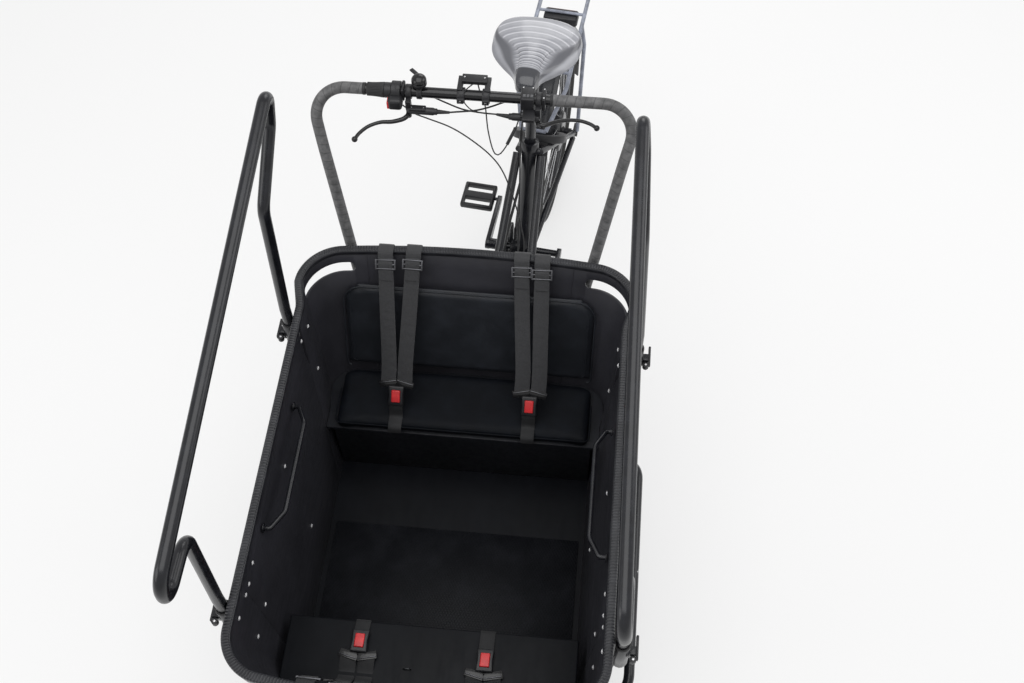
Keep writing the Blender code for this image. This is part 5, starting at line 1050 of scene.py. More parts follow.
harnessShape = {
    "web": 0.038, "thick": 0.0019, "overhang": 0.003, "beltEnd": 0.712, "lead": 0.060,
    "buckle": (0.040, 0.052, 0.018), "pocket": (0.023, 0.033, 0.0145), "tongueGap": 0.006,
    "rear": {"y": -0.283, "z": 0.484, "direction": (0.0, -0.681, -0.731), "sag": (0, -0.004, -0.006),
             "belts": ((1, 0.169, (0.128, 0.179)), (-1, -0.170, (-0.139, -0.2085)))},
    "front": {"z": 0.4533, "direction": (0.0, 1.0, 0.0), "sag": (0, 0.003, -0.006),
              "belts": ((1, 0.126, -0.930, (0.092, 0.160)), (-1, -0.164, -0.911, (-0.139, -0.2085)))},
    "adjuster": {"below": 0.030, "stand": 0.0035, "barYs": (-0.011, 0.000, 0.011), "halfBar": 0.023,
                 "bar": 0.0027, "cheekX": 0.0235, "cheek": (0.0022, 0.0135, 0.0024)},
    "tongue": {"x": 0.021, "lean": 13, "plate": (0.0225, 0.009, 0.0026), "halfBar": 0.021, "bar": 0.0018},
    # where the foot straps lie: over the rear edge of the front bench, over the front of the seat pad
    "benchEdgeY": -0.859, "benchDipY": -0.868, "benchTop": 0.444, "benchFootZ": 0.408, "padTop": 0.4318,
}


def strap(name, points, width):
    # a flat strap whose width lies across the box, a little thicker in its middle
    knots = evenPath(points, 0.006)
    rings = []
    for i, knot in enumerate(knots):
        ahead = knots[min(i + 1, len(knots) - 1)] - knots[max(i - 1, 0)]
        half = ahead.cross(Vector((1, 0, 0))).normalized() * harnessShape["thick"] / 2
        side = Vector((1, 0, 0)) * width / 2
        rings.append([knot - side + half * 0.2, knot - side * 0.9 + half, knot + half * 1.15,
                      knot + side * 0.9 + half, knot + side + half * 0.2, knot + side - half * 0.2,
                      knot + side * 0.9 - half, knot - half, knot - side * 0.9 - half,
                      knot - side - half * 0.2])
    return skin(name, rings, closeAcross=True, capped=True)


def rimAt(x, front):
    # the rim's outer edge at a place across the box
    spots = sorted((px, py) for px, py in rimHalf if (py < -0.6) == front)
    for (x0, y0), (x1, y1) in zip(spots, spots[1:]):
        if x0 <= abs(x) <= x1:
            return y0 + (y1 - y0) * (abs(x) - x0) / max(x1 - x0, 0.000001)
    return spots[-1][1]


def standing(across, along, off, place):
    # a place with its three directions, never a mirrored one
    if across.cross(along).dot(off) < 0:
        across = -across
    turn = Matrix((across, along, off)).transposed().to_4x4()
    turn.translation = place
    return turn


def centredBlock(size, bevel, segments):
    half = Vector(size) / 2
    return block(-half, half, bevel, segments)


def shoulderWeb(end, x, centre, along):
    # over the rim and down inside it to the tongue; also the rim's inner edge, and the way down from it
    shape = harnessShape
    out = -1 if end == "front" else 1
    rise = shape["thick"] / 2 + 0.0004
    top = boxShape["rimTop"]
    edge = [rimAt(x + step, end == "front") * out for step in (-shape["web"] / 2, shape["web"] / 2)]
    outer = (max(edge) + rise + 0.0003) * out
    inner = (min(edge) - boxShape["rimWidth"] - shape["overhang"]) * out
    over = [Vector(point) for point in (
        (x, outer, shape["beltEnd"]), (x, outer, top - 0.003), (x, outer - 0.0012 * out, top - 0.0004),
        (x, outer - 0.004 * out, top + rise + 0.0008), (x, inner, top + rise + 0.0008))]
    ends = centre - along * (shape["buckle"][1] / 2 + shape["tongueGap"])
    last = Vector((centre.x + math.copysign(shape["web"] / 2 + 0.002, x - centre.x), ends.y, ends.z))
    lead = last - along * shape["lead"]
    start = over[-1]
    middle = (start + lead) / 2 + Vector(shape[end]["sag"])
    first = start + (lead - start) * 0.12 + Vector((0, 0, -0.002))
    curve = smoothPath([start, first, middle, lead, last], 8)
    return over + curve[1:], start, (lead - start).normalized()


def makeAdjuster(name, at, down, off):
    # a frame with three bars on the strap, just below the rim
    a = harnessShape["adjuster"]
    long = a["halfBar"]
    bars = [cylinder((-long, y, 0.0), (long, y, 0.0), a["bar"], 0.0004, 16) for y in a["barYs"]]
    cheek = Vector(a["cheek"])
    for x in (-a["cheekX"], a["cheekX"]):
        bars.append(block(Vector((x, 0, 0)) - cheek, Vector((x, 0, 0)) + cheek, 0.001, 2))
    adjuster = merged("adjuster", bars)
    placed(adjuster, standing(Vector((1, 0, 0)), down, off, at + off * a["stand"]))
    settled(adjuster, name, satinGrey, "box_half")


def makeTongues(name, turn, shoulder):
    # the two straps end in tongues that lean towards each other at the buckle
    t = harnessShape["tongue"]
    plates, bars = [], []
    for sign in (-1, 1):
        place = turn @ Matrix.Translation((sign * t["x"], shoulder, 0.0)) @ Matrix.Rotation(
            math.radians(t["lean"] * sign), 4, "Z")
        plates.append(placed(centredBlock(Vector(t["plate"]) * 2, 0.0012, 2), place))
        bar = cylinder((-t["halfBar"], -0.004, 0.0028), (t["halfBar"], -0.004, 0.0028), t["bar"], 0.0004, 12)
        bars.append(placed(bar, place))
    settled(merged("tongue", plates), "tongue_" + name, gloss, "box_half")
    settled(merged("bars", bars), "tongueBars_" + name, satinGrey, "box_half")


def makeBuckle(name, turn):
    # a waisted body with a pocket for the button
    wide, long, high = harnessShape["buckle"]
    body = centredBlock((wide, long, high), 0.0, 1)
    meshSteps(body, (bpy.ops.mesh.subdivide, {"number_cuts": 3}))
    for vert in body.data.vertices:
        share = vert.co.y / (long / 2)
        vert.co.x *= 1 - 0.10 * math.cos(share * math.pi / 2) ** 2
        vert.co.z *= 1 - 0.18 * share ** 2
    rounded(body, 0.0045, 4, 50.0)
    across, along, deep = harnessShape["pocket"]
    cutHole(body, block((-across / 2, -along / 2, high / 2 - deep),
                        (across / 2, along / 2, high / 2 + 0.01), 0.0, 1))
    placed(body, turn)
    settled(body, "buckle_" + name, looks["black_plastic"], "box_half", angle=50.0)


def footPath(end, centre, along):
    # out of the buckle's far end, and down over the bench or the pad
    shape = harnessShape
    rise = shape["thick"] / 2 + 0.0004
    first = centre + along * 0.020
    if end == "front":
        edge, bench = shape["benchEdgeY"] + rise, shape["benchTop"]
        path = smoothPath([first, (centre.x, shape["benchDipY"], bench + rise + 0.002)], 3)
        return path + [Vector((centre.x, edge - 0.004, bench + rise + 0.0012)),
                       Vector((centre.x, edge, bench)), Vector((centre.x, edge, shape["benchFootZ"]))]
    seat = shape["padTop"] + rise + 0.0004
    return smoothPath([first, centre + along * 0.034, (centre.x, -0.316, seat + 0.004),
                       (centre.x, -0.336, seat + 0.0005), (centre.x, -0.350, seat - 0.004),
                       (centre.x, -0.3555, seat - 0.016)], 4)


def makeHarness(end, side, centre, places):
    shape = harnessShape
    name = end + ("Left" if side > 0 else "Right")
    node = end + ("_left" if side > 0 else "_right")
    centre = Vector(centre)
    along = Vector(shape[end]["direction"]).normalized()
    across = Vector((1, 0, 0))
    if across.cross(along).z < 0:
        across = -across
    turn = standing(across, along, across.cross(along), centre)
    webs = []
    for number, x in enumerate(places, 1):
        path, start, down = shoulderWeb(end, x, centre, along)
        webs.append(strap("web", path, shape["web"]))
        at = start + down * shape["adjuster"]["below"]
        off = down.cross(Vector((1, 0, 0)))
        if off.z < 0:
            off = -off
        makeAdjuster("adjuster_" + name + "_" + str(number), at, down, off)
        webs.append(strap("loop", [at - down * 0.016 + off * 0.001, at - down * 0.010 + off * 0.0042,
                                   at + off * 0.0068, at + down * 0.010 + off * 0.0042,
                                   at + down * 0.040 + off * 0.0022], shape["web"] * 0.94))
    makeTongues(name, turn, -shape["buckle"][1] / 2 - shape["tongueGap"])
    makeBuckle(name, turn)
    foot = strap("foot", footPath(end, centre, along), shape["web"] * 0.9)
    settled(foot, "footStrap_" + name, shadedWebbing, "box_half", angle=50.0)
    settled(merged("straps", webs), "straps_" + name, shadedWebbing if end == "front" else looks["web_black"],
            "box_half", ["harness_" + node], 50.0)
    button = rounded(cleanCopy("buckle_button_" + node), 0.0006, 2, 30.0)
    settled(button, "pushButton_" + name, looks["button_red"], "button_" + node, ["buckle_button_" + node])


def makeHarnesses():
    rear, front = harnessShape["rear"], harnessShape["front"]
    for side, x, places in rear["belts"]:
        makeHarness("rear", side, (x, rear["y"], rear["z"]), places)
    for side, x, y, places in front["belts"]:
        makeHarness("front", side, (x, y, front["z"]), places)


makeCushions()
makeBenches()
makeHarnesses()
print("stage: seats and harnesses")


# rain hoops, their clamps and the grab rails

hoopShape = {
    "radius": 0.0135, "x": 0.4210, "rearY": -0.222, "frontY": -0.940, "bottom": 0.600,
    "leanStart": 0.760, "lean": 0.045, "apexZ": 1.372, "apexY": -0.088, "noseY": -1.069,
    "noseLow": 1.100, "noseHigh": 1.190, "kneeY": -0.098, "kneeHigh": 1.270, "kneeLow": 1.142,
    "bends": (0.10, 0.045, 0.042, 0.042, 0.034, 0.045, 0.055, 0.10),
    "pin": {"x": 0.4465, "ahead": 0.0168, "z": 0.650, "half": 0.0085, "radius": 0.0030},
    "seal": ((0.0139, 0.7002), (0.0176, 0.7002), (0.0180, 0.7012), (0.0174, 0.7034), (0.0150, 0.7040),
             (0.0139, 0.7036)),
}


def hoopPoint(side, y, z):
    # the hoops lean in towards each other above leanStart
    h = hoopShape
    share = max(0.0, z - h["leanStart"]) / (h["apexZ"] - h["leanStart"])
    return Vector((side * (h["x"] - h["lean"] * share ** 1.6), y, z))


def makeHoops():
    h = hoopShape
    corners = ((h["frontY"], h["bottom"]), (h["frontY"], h["leanStart"]), (h["frontY"], h["noseLow"]),
               (h["noseY"], h["noseLow"] + 0.004), (h["noseY"], h["noseHigh"]), (h["apexY"], h["apexZ"]),
               (h["kneeY"], h["kneeHigh"]), (h["rearY"], h["kneeLow"]), (h["rearY"], h["leanStart"]),
               (h["rearY"], h["bottom"]))
    for side, name in ((1, "Left"), (-1, "Right")):
        low = name.lower()
        path = bentPath([hoopPoint(side, y, z) for y, z in corners], h["bends"], 12)
        settled(tube("hoop", path, h["radius"] - 0.0001, 10), "rainHoop" + name, looks["black_paint"],
                low + "_hoop", ["rain_hoop_" + low], 60.0)
        for end, y in (("rear", h["rearY"]), ("front", h["frontY"])):
            body = "clamp_" + end + "_" + low
            dressed("quick_release_" + end + "_" + low, "clampLever_" + end + name, looks["black_plastic"],
                    body, 0.0014, 3)
            pin = h["pin"]
            middle = Vector((side * pin["x"], y - pin["ahead"], pin["z"]))
            up = Vector((0, 0, pin["half"]))
            bolt = cylinder(middle - up, middle + up, pin["radius"], 0.0005, 24)
            settled(bolt, "clampPin_" + end + name, brightSteel, body)
            # a rubber seal where the tube enters its socket
            seal = turnedPart(h["seal"], Matrix.Translation((side * h["x"], y, 0)), 48)
            settled(seal, "socketSeal_" + end + name, looks["black_rubber"], "box_half")


railShape = {
    "radius": 0.0055, "bendX": 0.362, "barX": 0.338, "barZ": 0.683, "barYs": (-0.705, -0.480),
    "ends": ((-0.750, 0.688), (-0.432, 0.664)), "bends": (0.010, 0.030, 0.030, 0.010), "flange": 0.0105,
}


def makeGrabRails():
    g = railShape
    for side, name in ((1, "left"), (-1, "right")):
        low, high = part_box("grab_rail_" + name)
        wall = max(abs(low.x), abs(high.x))
        (frontY, frontZ), (rearY, rearZ) = g["ends"]
        corners = [(wall, frontY, frontZ), (g["bendX"], frontY, frontZ),
                   (g["barX"], g["barYs"][0], g["barZ"]), (g["barX"], g["barYs"][1], g["barZ"]),
                   (g["bendX"], rearY, rearZ), (wall, rearY, rearZ)]
        path = bentPath([(side * x, y, z) for x, y, z in corners], g["bends"], 8)
        rail = tube("rail", path, g["radius"], 6)
        settled(rail, "grabRail_" + name, looks["black_paint"], "box_half", ["grab_rail_" + name], 60.0)
        flanges = []
        for y, z in g["ends"]:
            inside = wallInside(z, y)
            flanges.append(cylinder((side * (inside - 0.0030), y, z), (side * (inside - 0.0004), y, z),
                                    g["flange"], 0.0008, 32))
        settled(merged("flanges", flanges), "grabFlanges_" + name, looks["black_paint"], "box_half")


def wallInside(z, y):
    # half the box's inside width at a height and a place along it
    points = [wallPoint(column, z) for column in range(marks["slotEnd"], loopCount // 2)]
    for a, b in zip(points, points[1:]):
        if b.y <= y <= a.y:
            return a.x + (b.x - a.x) * (a.y - y) / max(a.y - b.y, 0.000001) - boxShape["panelThickness"]
    return points[0].x - boxShape["panelThickness"]


screwShape = {
    "radius": 0.0052, "height": 0.0030, "spots": (
        (-0.220, 0.684), (-0.277, 0.706), (-0.260, 0.552), (-0.574, 0.635), (-0.838, 0.704),
        (-0.883, 0.697), (-0.909, 0.701), (-0.883, 0.571), (-0.963, 0.710), (-0.957, 0.573),
        (-0.604, 0.360)),
}


def makeScrews():
    # one round head with a socket, copied to each place on the side boards
    shape = screwShape
    profile = [(0.0, 0.0), (shape["radius"], 0.0)]
    for i in range(1, 7):
        angle = math.pi / 2 * i / 6
        profile.append((shape["radius"] * math.cos(angle), shape["height"] * math.sin(angle)))
    profile[-1] = (0.0016, shape["height"] * 0.985)
    profile += [(0.0015, shape["height"] * 0.4), (0.0, shape["height"] * 0.4)]
    head = turnedPart(profile, Matrix.Identity(4), 20)
    heads = []
    for side in (1, -1):
        for y, z in shape["spots"]:
            x = wallInside(z, y)
            tilt = math.atan2(wallInside(z + 0.01, y) - wallInside(z - 0.01, y), 0.02)
            spot = Matrix.Translation((side * (x - 0.0002), y, z)) @ Matrix.Rotation(
                -side * (math.pi / 2 + tilt), 4, "Y")
            heads.append(copied(head, spot))
    bpy.data.objects.remove(head, do_unlink=True)
    settled(merged("screws", heads), "boxScrews", zinc, "box_half", angle=40.0)


makeHoops()
makeGrabRails()
makeScrews()
print("stage: hoops, rails and screws")


# push bar and what is clamped on it

barShape = {
    "radius": 0.0125, "y": 0.178, "z": 1.100, "cornerX": 0.386, "bend": 0.070,
    "kink": (0.3535, 0.101, 0.980), "rim": (0.305, 0.006, 0.736), "foot": (0.192, -0.211, 0.1982),
    "wrap": 0.0012, "tapeRight": -0.2480, "tapeLeft": 0.1735, "tapeEndZ": 0.640, "clampWall": 0.0045,
}


def barPath():
    s = barShape
    half = [Vector(s["foot"]), Vector(s["rim"]), Vector(s["kink"]),
            Vector((s["cornerX"], s["y"], s["z"]))]
    corners = [Vector((-x, y, z)) for x, y, z in half] + list(reversed(half))
    bends = (0.6, 0.30, s["bend"])
    return bentPath(corners, bends + tuple(reversed(bends)), 14)


def makePushBar():
    s = barShape
    path = barPath()
    bar = tube("bar", path, s["radius"], 8)
    settled(bar, "pushBar", barPaint, "box_half", ["handlebar"], 60.0)
    fine = evenPath(path, 0.004)
    for name, chosen in (
            ("Right", [p for p in fine if p.x <= s["tapeRight"] and p.z > s["tapeEndZ"]]),
            ("Left", [p for p in fine if p.x >= s["tapeLeft"] and p.z > s["tapeEndZ"]])):
        chosen = evenPath(chosen, 0.007)
        wrap = tube("wrap", chosen, s["radius"] + s["wrap"], 8)
        settled(wrap, "gripTape" + name, looks["bar_tape"], "box_half", angle=60.0)
        last = chosen[-1] if name == "Right" else chosen[0]
        sign = 1 if name == "Right" else -1
        band = cylinder((last.x - sign * 0.006, s["y"], s["z"]), (last.x + sign * 0.0008, s["y"], s["z"]),
                        s["radius"] + s["wrap"] + 0.0007, 0.0004, 40)
        settled(band, "tapeBand" + name, looks["black_rubber"], "box_half")


def acrossAt(x, y, z):
    # a place with its own Z turned along the bar
    return Matrix.Translation((x, y, z)) @ Matrix.Rotation(math.pi / 2, 4, "Y")


def barRing(x, width, wall):
    # a clamp ring round the bar
    s = barShape
    inner = s["radius"] + 0.00005
    profile = [(inner, -width / 2), (inner + wall - 0.0006, -width / 2), (inner + wall, -width / 2 + 0.0006),
               (inner + wall, width / 2 - 0.0006), (inner + wall - 0.0006, width / 2), (inner, width / 2)]
    return turnedPart(profile, acrossAt(x, s["y"], s["z"]), 48)


bracketShape = {"halfWidth": 0.038, "front": -0.004, "depth": 0.044, "clampX": 0.029, "clampWidth": 0.017,
                "windowX": 0.025, "windowDepth": 0.022, "shelfX": 0.029, "ear": 0.0080, "boltShare": 0.8}


def makeDisplayBracket():
    # a plate with a window, open to the front, and a shelf behind it, on two clamps
    s, d = barShape, bracketShape
    top = s["z"] + s["radius"] + s["clampWall"]
    front = s["y"] + d["front"]
    back = front + d["depth"]
    plate = block((-d["halfWidth"], front, top - 0.002), (d["halfWidth"], back, top + 0.004), 0.0, 1)
    cutHole(plate, block((-d["windowX"], front - 0.01, top - 0.01),
                         (d["windowX"], front + d["windowDepth"], top + 0.02), 0.003, 3))
    rounded(plate, 0.0013, 3, 50.0)
    shelf = block((-d["shelfX"], front + 0.021, top + 0.001), (d["shelfX"], back + 0.001, top + 0.010),
                  0.0016, 3)
    parts, bolts = [plate, shelf], []
    for x in (-d["clampX"], d["clampX"]):
        parts.append(barRing(x, d["clampWidth"], s["clampWall"]))
        parts.append(block((x - d["ear"], s["y"] - 0.0235, s["z"] - 0.0065),
                           (x + d["ear"], s["y"] - 0.0130, s["z"] + 0.0070), 0.0015, 3))
        bolts.append(cylinder((x, s["y"] - 0.0232, s["z"]), (x, s["y"] - 0.0252, s["z"]), 0.0034, 0.0005, 24))
        spot = Vector((x * d["boltShare"], back - 0.010, top + 0.0098))
        bolts.append(cylinder(spot, spot + Vector((0, 0, 0.0010)), 0.0022, 0.0003, 20))
    settled(merged("bracket", parts), "displayBracket", looks["black_plastic"], "box_half",
            ["display_bracket"], 50.0)
    settled(merged("bolts", bolts), "bracketBolts", brightSteel, "box_half")


shifterShape = {
    "inner": -0.190, "outer": -0.247, "ribs": 26, "ribDepth": 0.0011,
    "sleeve": ((0.0150, 0.0), (0.0158, 0.0012), (0.0158, 0.010), (0.0164, 0.022), (0.0176, 0.034),
               (0.0180, 0.0395), (0.0172, 0.0405)),
    "ringX": -0.1788, "ringWidth": 0.0206, "ringWall": 0.0100,
    "lobe": ((-0.1960, 0.1380, 1.0740), (-0.1630, 0.1760, 1.1050)),
    "cheek": ((-0.1665, 0.1610, 1.0840), (-0.1590, 0.1955, 1.1185)),
    "mark": ((-0.1975, 0.1400, 1.0780), (-0.1915, 0.1580, 1.0985)),
    "button": ((-0.1740, 0.1722, 1.1130), (-0.1740, 0.1672, 1.1205)), "buttonRadius": 0.0062,
}


def makeShifter():
    s, g = barShape, shifterShape
    hole = s["radius"] + 0.00015
    length = g["inner"] - g["outer"]
    place = acrossAt(g["outer"], s["y"], s["z"])
    sleeve = turnedPart([(hole, 0.0), *g["sleeve"], (hole, 0.0405)], place, g["ribs"] * 6)
    for vert in sleeve.data.vertices:
        off = Vector((vert.co.y - s["y"], vert.co.z - s["z"]))
        if 0.003 < vert.co.x - g["outer"] < 0.038 and off.length > hole + 0.001:
            wave = max(0.0, math.cos(math.atan2(off.y, off.x) * g["ribs"])) ** 2
            grip = 1 - g["ribDepth"] * wave / off.length
            vert.co.y = s["y"] + off.x * grip
            vert.co.z = s["z"] + off.y * grip
    settled(sleeve, "twistGrip", looks["black_rubber"], "shifter", ["twist_shifter"], 50.0)
    collar = turnedPart([(hole, 0.0410), (0.0174, 0.0410), (0.0180, 0.0418), (0.0180, length - 0.0008),
                         (0.0172, length), (hole, length)], place, 64)
    settled(collar, "shifterCollar", looks["black_plastic"], "shifter")
    # fixed on the bar beside it: a housing with a lobe below, a pointer and a thumb button
    housing = [barRing(g["ringX"], g["ringWidth"], g["ringWall"]), block(*g["lobe"], 0.008, 5),
               block(*g["cheek"], 0.003, 3)]
    settled(merged("housing", housing), "shifterHousing", looks["black_plastic"], "box_half")
    settled(block(*g["mark"], 0.0012, 2), "shifterMark", looks["button_red"], "box_half")
    button = cylinder(*g["button"], g["buttonRadius"], 0.0012, 40)
    settled(button, "thumbButton", looks["black_plastic"], "box_half")


brakeShape = {
    "perchX": 0.150, "innerX": 0.083, "bodyRadius": 0.009, "bodyY": 0.150, "bodyZ": 1.068,
    "capX": 0.128, "barrel": 0.0065, "barrelHeight": 0.011, "blade": 0.0048, "ball": 0.0071,
    "levers": (
        ("right", -1, ((-0.1619, 0.1361, 1.052), (-0.1862, 0.1263, 1.051), (-0.2139, 0.1239, 1.049),
                       (-0.2399, 0.1110, 1.047), (-0.2576, 0.0911, 1.045), (-0.2661, 0.0721, 1.044))),
        ("left", 1, ((0.1640, 0.1432, 1.052), (0.1893, 0.1571, 1.051), (0.2186, 0.1673, 1.049),
                     (0.2462, 0.1696, 1.047), (0.2697, 0.1640, 1.045), (0.2865, 0.1532, 1.044)))),
}


def makeBrakes():
    s, k = barShape, brakeShape
    for name, side, bends in k["levers"]:
        x = side * k["perchX"]
        ring = barRing(x, 0.014, s["clampWall"])
        link = block((x - 0.006, k["bodyY"] - 0.002, k["bodyZ"] - 0.002),
                     (x + 0.006, s["y"] - s["radius"] - 0.0005, s["z"] - 0.004), 0.0015, 3)
        profile = [(0.0, 0.0), (0.0070, 0.0), (0.0076, 0.0010), (0.0076, 0.006), (k["bodyRadius"], 0.009),
                   (k["bodyRadius"], 0.060), (0.0080, 0.0625), (0.0080, 0.069), (0.0066, 0.071), (0.0, 0.071)]
        place = Matrix.Translation((side * k["innerX"], k["bodyY"], k["bodyZ"]))
        body = turnedPart(profile, place @ Matrix.Rotation(side * math.pi / 2, 4, "Y"), 40)
        capX = side * k["capX"]
        cap = block((capX - 0.019, k["bodyY"] - 0.0080, k["bodyZ"] + 0.004),
                    (capX + 0.019, k["bodyY"] + 0.0075, k["bodyZ"] + 0.0115), 0.0018, 3)
        settled(merged("perch", [ring, link, body, cap]), "brakePerch_" + name,
                looks["black_plastic"], "box_half", ["brake_perch_" + name], 50.0)
        bolts = [cylinder((boltX, k["bodyY"], k["bodyZ"] + 0.0112), (boltX, k["bodyY"], k["bodyZ"] + 0.0124),
                          0.0020, 0.0003, 20) for boltX in (capX - 0.014, capX + 0.014)]
        bolts.append(cylinder((x, s["y"] + 0.0166, s["z"]), (x, s["y"] + 0.0190, s["z"]), 0.0028, 0.0004, 20))
        settled(merged("bolts", bolts), "perchBolts_" + name, brightSteel, "box_half")

        low = k["bodyZ"] - k["bodyRadius"] - 0.0003
        foot = low - k["barrelHeight"]
        barrel = cylinder((x, k["bodyY"], foot), (x, k["bodyY"], low), k["barrel"], 0.0008, 32)
        path = smoothPath([(x, k["bodyY"], (low + foot) / 2)] + list(bends), 6)
        swell = [1.25 - 0.35 * min(1.0, i / 20) for i in range(len(path))]
        blade = tube("blade", path, k["blade"], 6, swell=swell)
        nothingSelected()
        bpy.ops.mesh.primitive_uv_sphere_add(segments=24, ring_count=14, radius=k["ball"],
                                             location=bends[-1])
        ball = placed(bpy.context.object)
        settled(merged("lever", [barrel, blade, ball]), "brakeLever_" + name, gloss,
                name + "_brake", ["brake_lever_" + name], 50.0)
        bolt = cylinder((x, k["bodyY"], foot - 0.0010), (x, k["bodyY"], foot + 0.0005), 0.0036, 0.0003, 24)
        settled(bolt, "leverPivot_" + name, brightSteel, name + "_brake")


bellShape = {"x": -0.125, "radius": 0.0175, "domeStart": 0.0222, "domeHeight": 0.0128,
             "tab": (-0.1385, 0.2060, 0.0215), "tabSize": (0.026, 0.010, 0.004), "tabTurn": 137}


def makeBell():
    s, b = barShape, bellShape
    base = s["z"] + s["radius"]
    wide = b["radius"]
    place = Matrix.Translation((b["x"], s["y"] + 0.004, base))
    drum = turnedPart([(0.0, 0.0006), (0.006, 0.0006), (0.006, 0.007), (0.0160, 0.0085), (wide, 0.0100),
                       (wide, 0.0190), (0.0168, 0.0198), (0.0, 0.0198)], place, 48)
    ring = barRing(b["x"], 0.012, 0.004)
    x, y, up = b["tab"]
    tab = centredBlock(b["tabSize"], 0.0018, 3)
    placed(tab, Matrix.Translation((x, y, base + up)) @ Matrix.Rotation(math.radians(b["tabTurn"]), 4, "Z"))
    settled(merged("bellBase", [drum, ring, tab]), "bellBase", looks["black_plastic"], "box_half",
            ["bell"], 50.0)
    profile = [(0.0, 0.0200), (0.0174, 0.0200)]
    for i in range(11):
        angle = math.pi / 2 * i / 10
        profile.append((wide * math.cos(angle), b["domeStart"] + b["domeHeight"] * math.sin(angle)))
    profile[-1] = (0.0, b["domeStart"] + b["domeHeight"])
    settled(turnedPart(profile, place, 64), "bellDome", gloss, "box_half", angle=50.0)


# two hoses, the shifter's cable, the display's lead with its plug, and a short loop under it:
# radius, points, and whether it goes on along the trunk
cableShape = {
    "tie": ((0.1064, 0.2138, 0.948), (0.1048, 0.2126, 0.916)), "tieRadius": 0.0052,
    "boots": (((-0.0835, 0.1500, 1.068), (-0.0540, 0.1503, 1.068)),
              ((0.0835, 0.1500, 1.068), (0.0540, 0.1538, 1.068))), "bootRadii": (0.0056, 0.0030),
    "plug": ((0.0800, 0.1282, 0.9957), (0.0985, 0.1565, 1.0245)), "plugRadius": 0.0040,
    "trunk": [(0.1080, 0.2150, 0.980), (0.1040, 0.2120, 0.900), (0.1020, 0.2050, 0.800),
              (0.1020, 0.1850, 0.700), (0.1020, 0.1400, 0.560), (0.1010, 0.0600, 0.420),
              (0.1020, -0.0600, 0.300), (0.1020, -0.1650, 0.225), (0.1020, -0.2135, 0.1935)],
    "routes": {
        "brakeHose": (0.0021, [(-0.0575, 0.1500, 1.068), (-0.0419, 0.1530, 1.068), (0.0035, 0.1616, 1.068),
                               (0.0369, 0.1753, 1.068), (0.0700, 0.1937, 1.068), (0.0985, 0.2085, 1.062),
                               (0.1100, 0.2150, 1.030)], True),
        "cutOffLead": (0.0019, [(0.0575, 0.1540, 1.068), (0.0156, 0.1579, 1.066), (-0.0271, 0.1651, 1.066),
                                (-0.0688, 0.1818, 1.067), (-0.1050, 0.1950, 1.070),
                                (-0.1600, 0.1930, 1.090)], False),
        "shiftCable": (0.0017, [(-0.1690, 0.1580, 1.080), (-0.1400, 0.1530, 1.056), (-0.1044, 0.1420, 1.052),
                                (-0.0516, 0.1270, 1.045), (-0.0049, 0.1165, 1.020), (0.0418, 0.1064, 0.980),
                                (0.0723, 0.0992, 0.930), (0.0996, 0.0806, 0.850), (0.1199, 0.0670, 0.750),
                                (0.1251, 0.0632, 0.680), (0.1180, 0.0450, 0.600), (0.1090, -0.0100, 0.460),
                                (0.1070, -0.0900, 0.330), (0.1060, -0.1650, 0.232),
                                (0.1060, -0.2120, 0.1965)], False),
        "displayLead": (0.0016, [(0.0081, 0.1989, 1.116), (0.0145, 0.1803, 1.110), (0.0276, 0.1602, 1.090),
                                 (0.0363, 0.1298, 1.040), (0.0484, 0.1136, 0.990), (0.0605, 0.1080, 0.980),
                                 (0.0758, 0.1221, 0.990), (0.0967, 0.1529, 1.020), (0.1067, 0.1730, 1.050),
                                 (0.1146, 0.1850, 1.078)], False),
        "shortLoop": (0.0014, [(-0.0033, 0.1979, 1.116), (-0.0193, 0.1758, 1.115), (-0.0229, 0.1619, 1.100),
                               (-0.0067, 0.1542, 1.080), (0.0112, 0.1557, 1.070)], False),
    },
}


def makeCables():
    c = cableShape
    tie = cylinder(*c["tie"], c["tieRadius"], 0.0008, 28)
    settled(tie, "cableTie", looks["black_rubber"], "box_half", ["control_cables"])
    for name, (radius, route, joinsTrunk) in c["routes"].items():
        path = evenPath(smoothPath(route + (c["trunk"] if joinsTrunk else []), 8), 0.008)
        cable = tube("cable", path, radius, 4)
        settled(cable, name, looks["black_rubber"], "box_half", angle=60.0)
        2 * radius
    wide, narrow = c["bootRadii"]
    boots = [cylinder(start, end, wide, 0.0006, 24, narrow) for start, end in c["boots"]]
    settled(merged("boots", boots), "hoseBoots", looks["black_rubber"], "box_half")
    plug = cylinder(*c["plug"], c["plugRadius"], 0.0008, 24)
    settled(plug, "leadPlug", looks["black_plastic"], "box_half")


switchShape = {
    "blocks": (((0.1090, 0.1560, 1.0830), (0.1400, 0.1975, 1.1200), 0.003),
               ((0.1150, 0.1240, 1.0780), (0.1440, 0.1580, 1.0880), 0.002),
               ((0.1580, 0.1590, 1.0830), (0.1660, 0.1960, 1.1185), 0.002)),
    "keyX": 0.1140, "keyPitch": 0.0085, "keyWidth": 0.0065,
    "bolts": ((0.1135, 0.1930), (0.1355, 0.1930), (0.1620, 0.1640), (0.1620, 0.1910)),
}


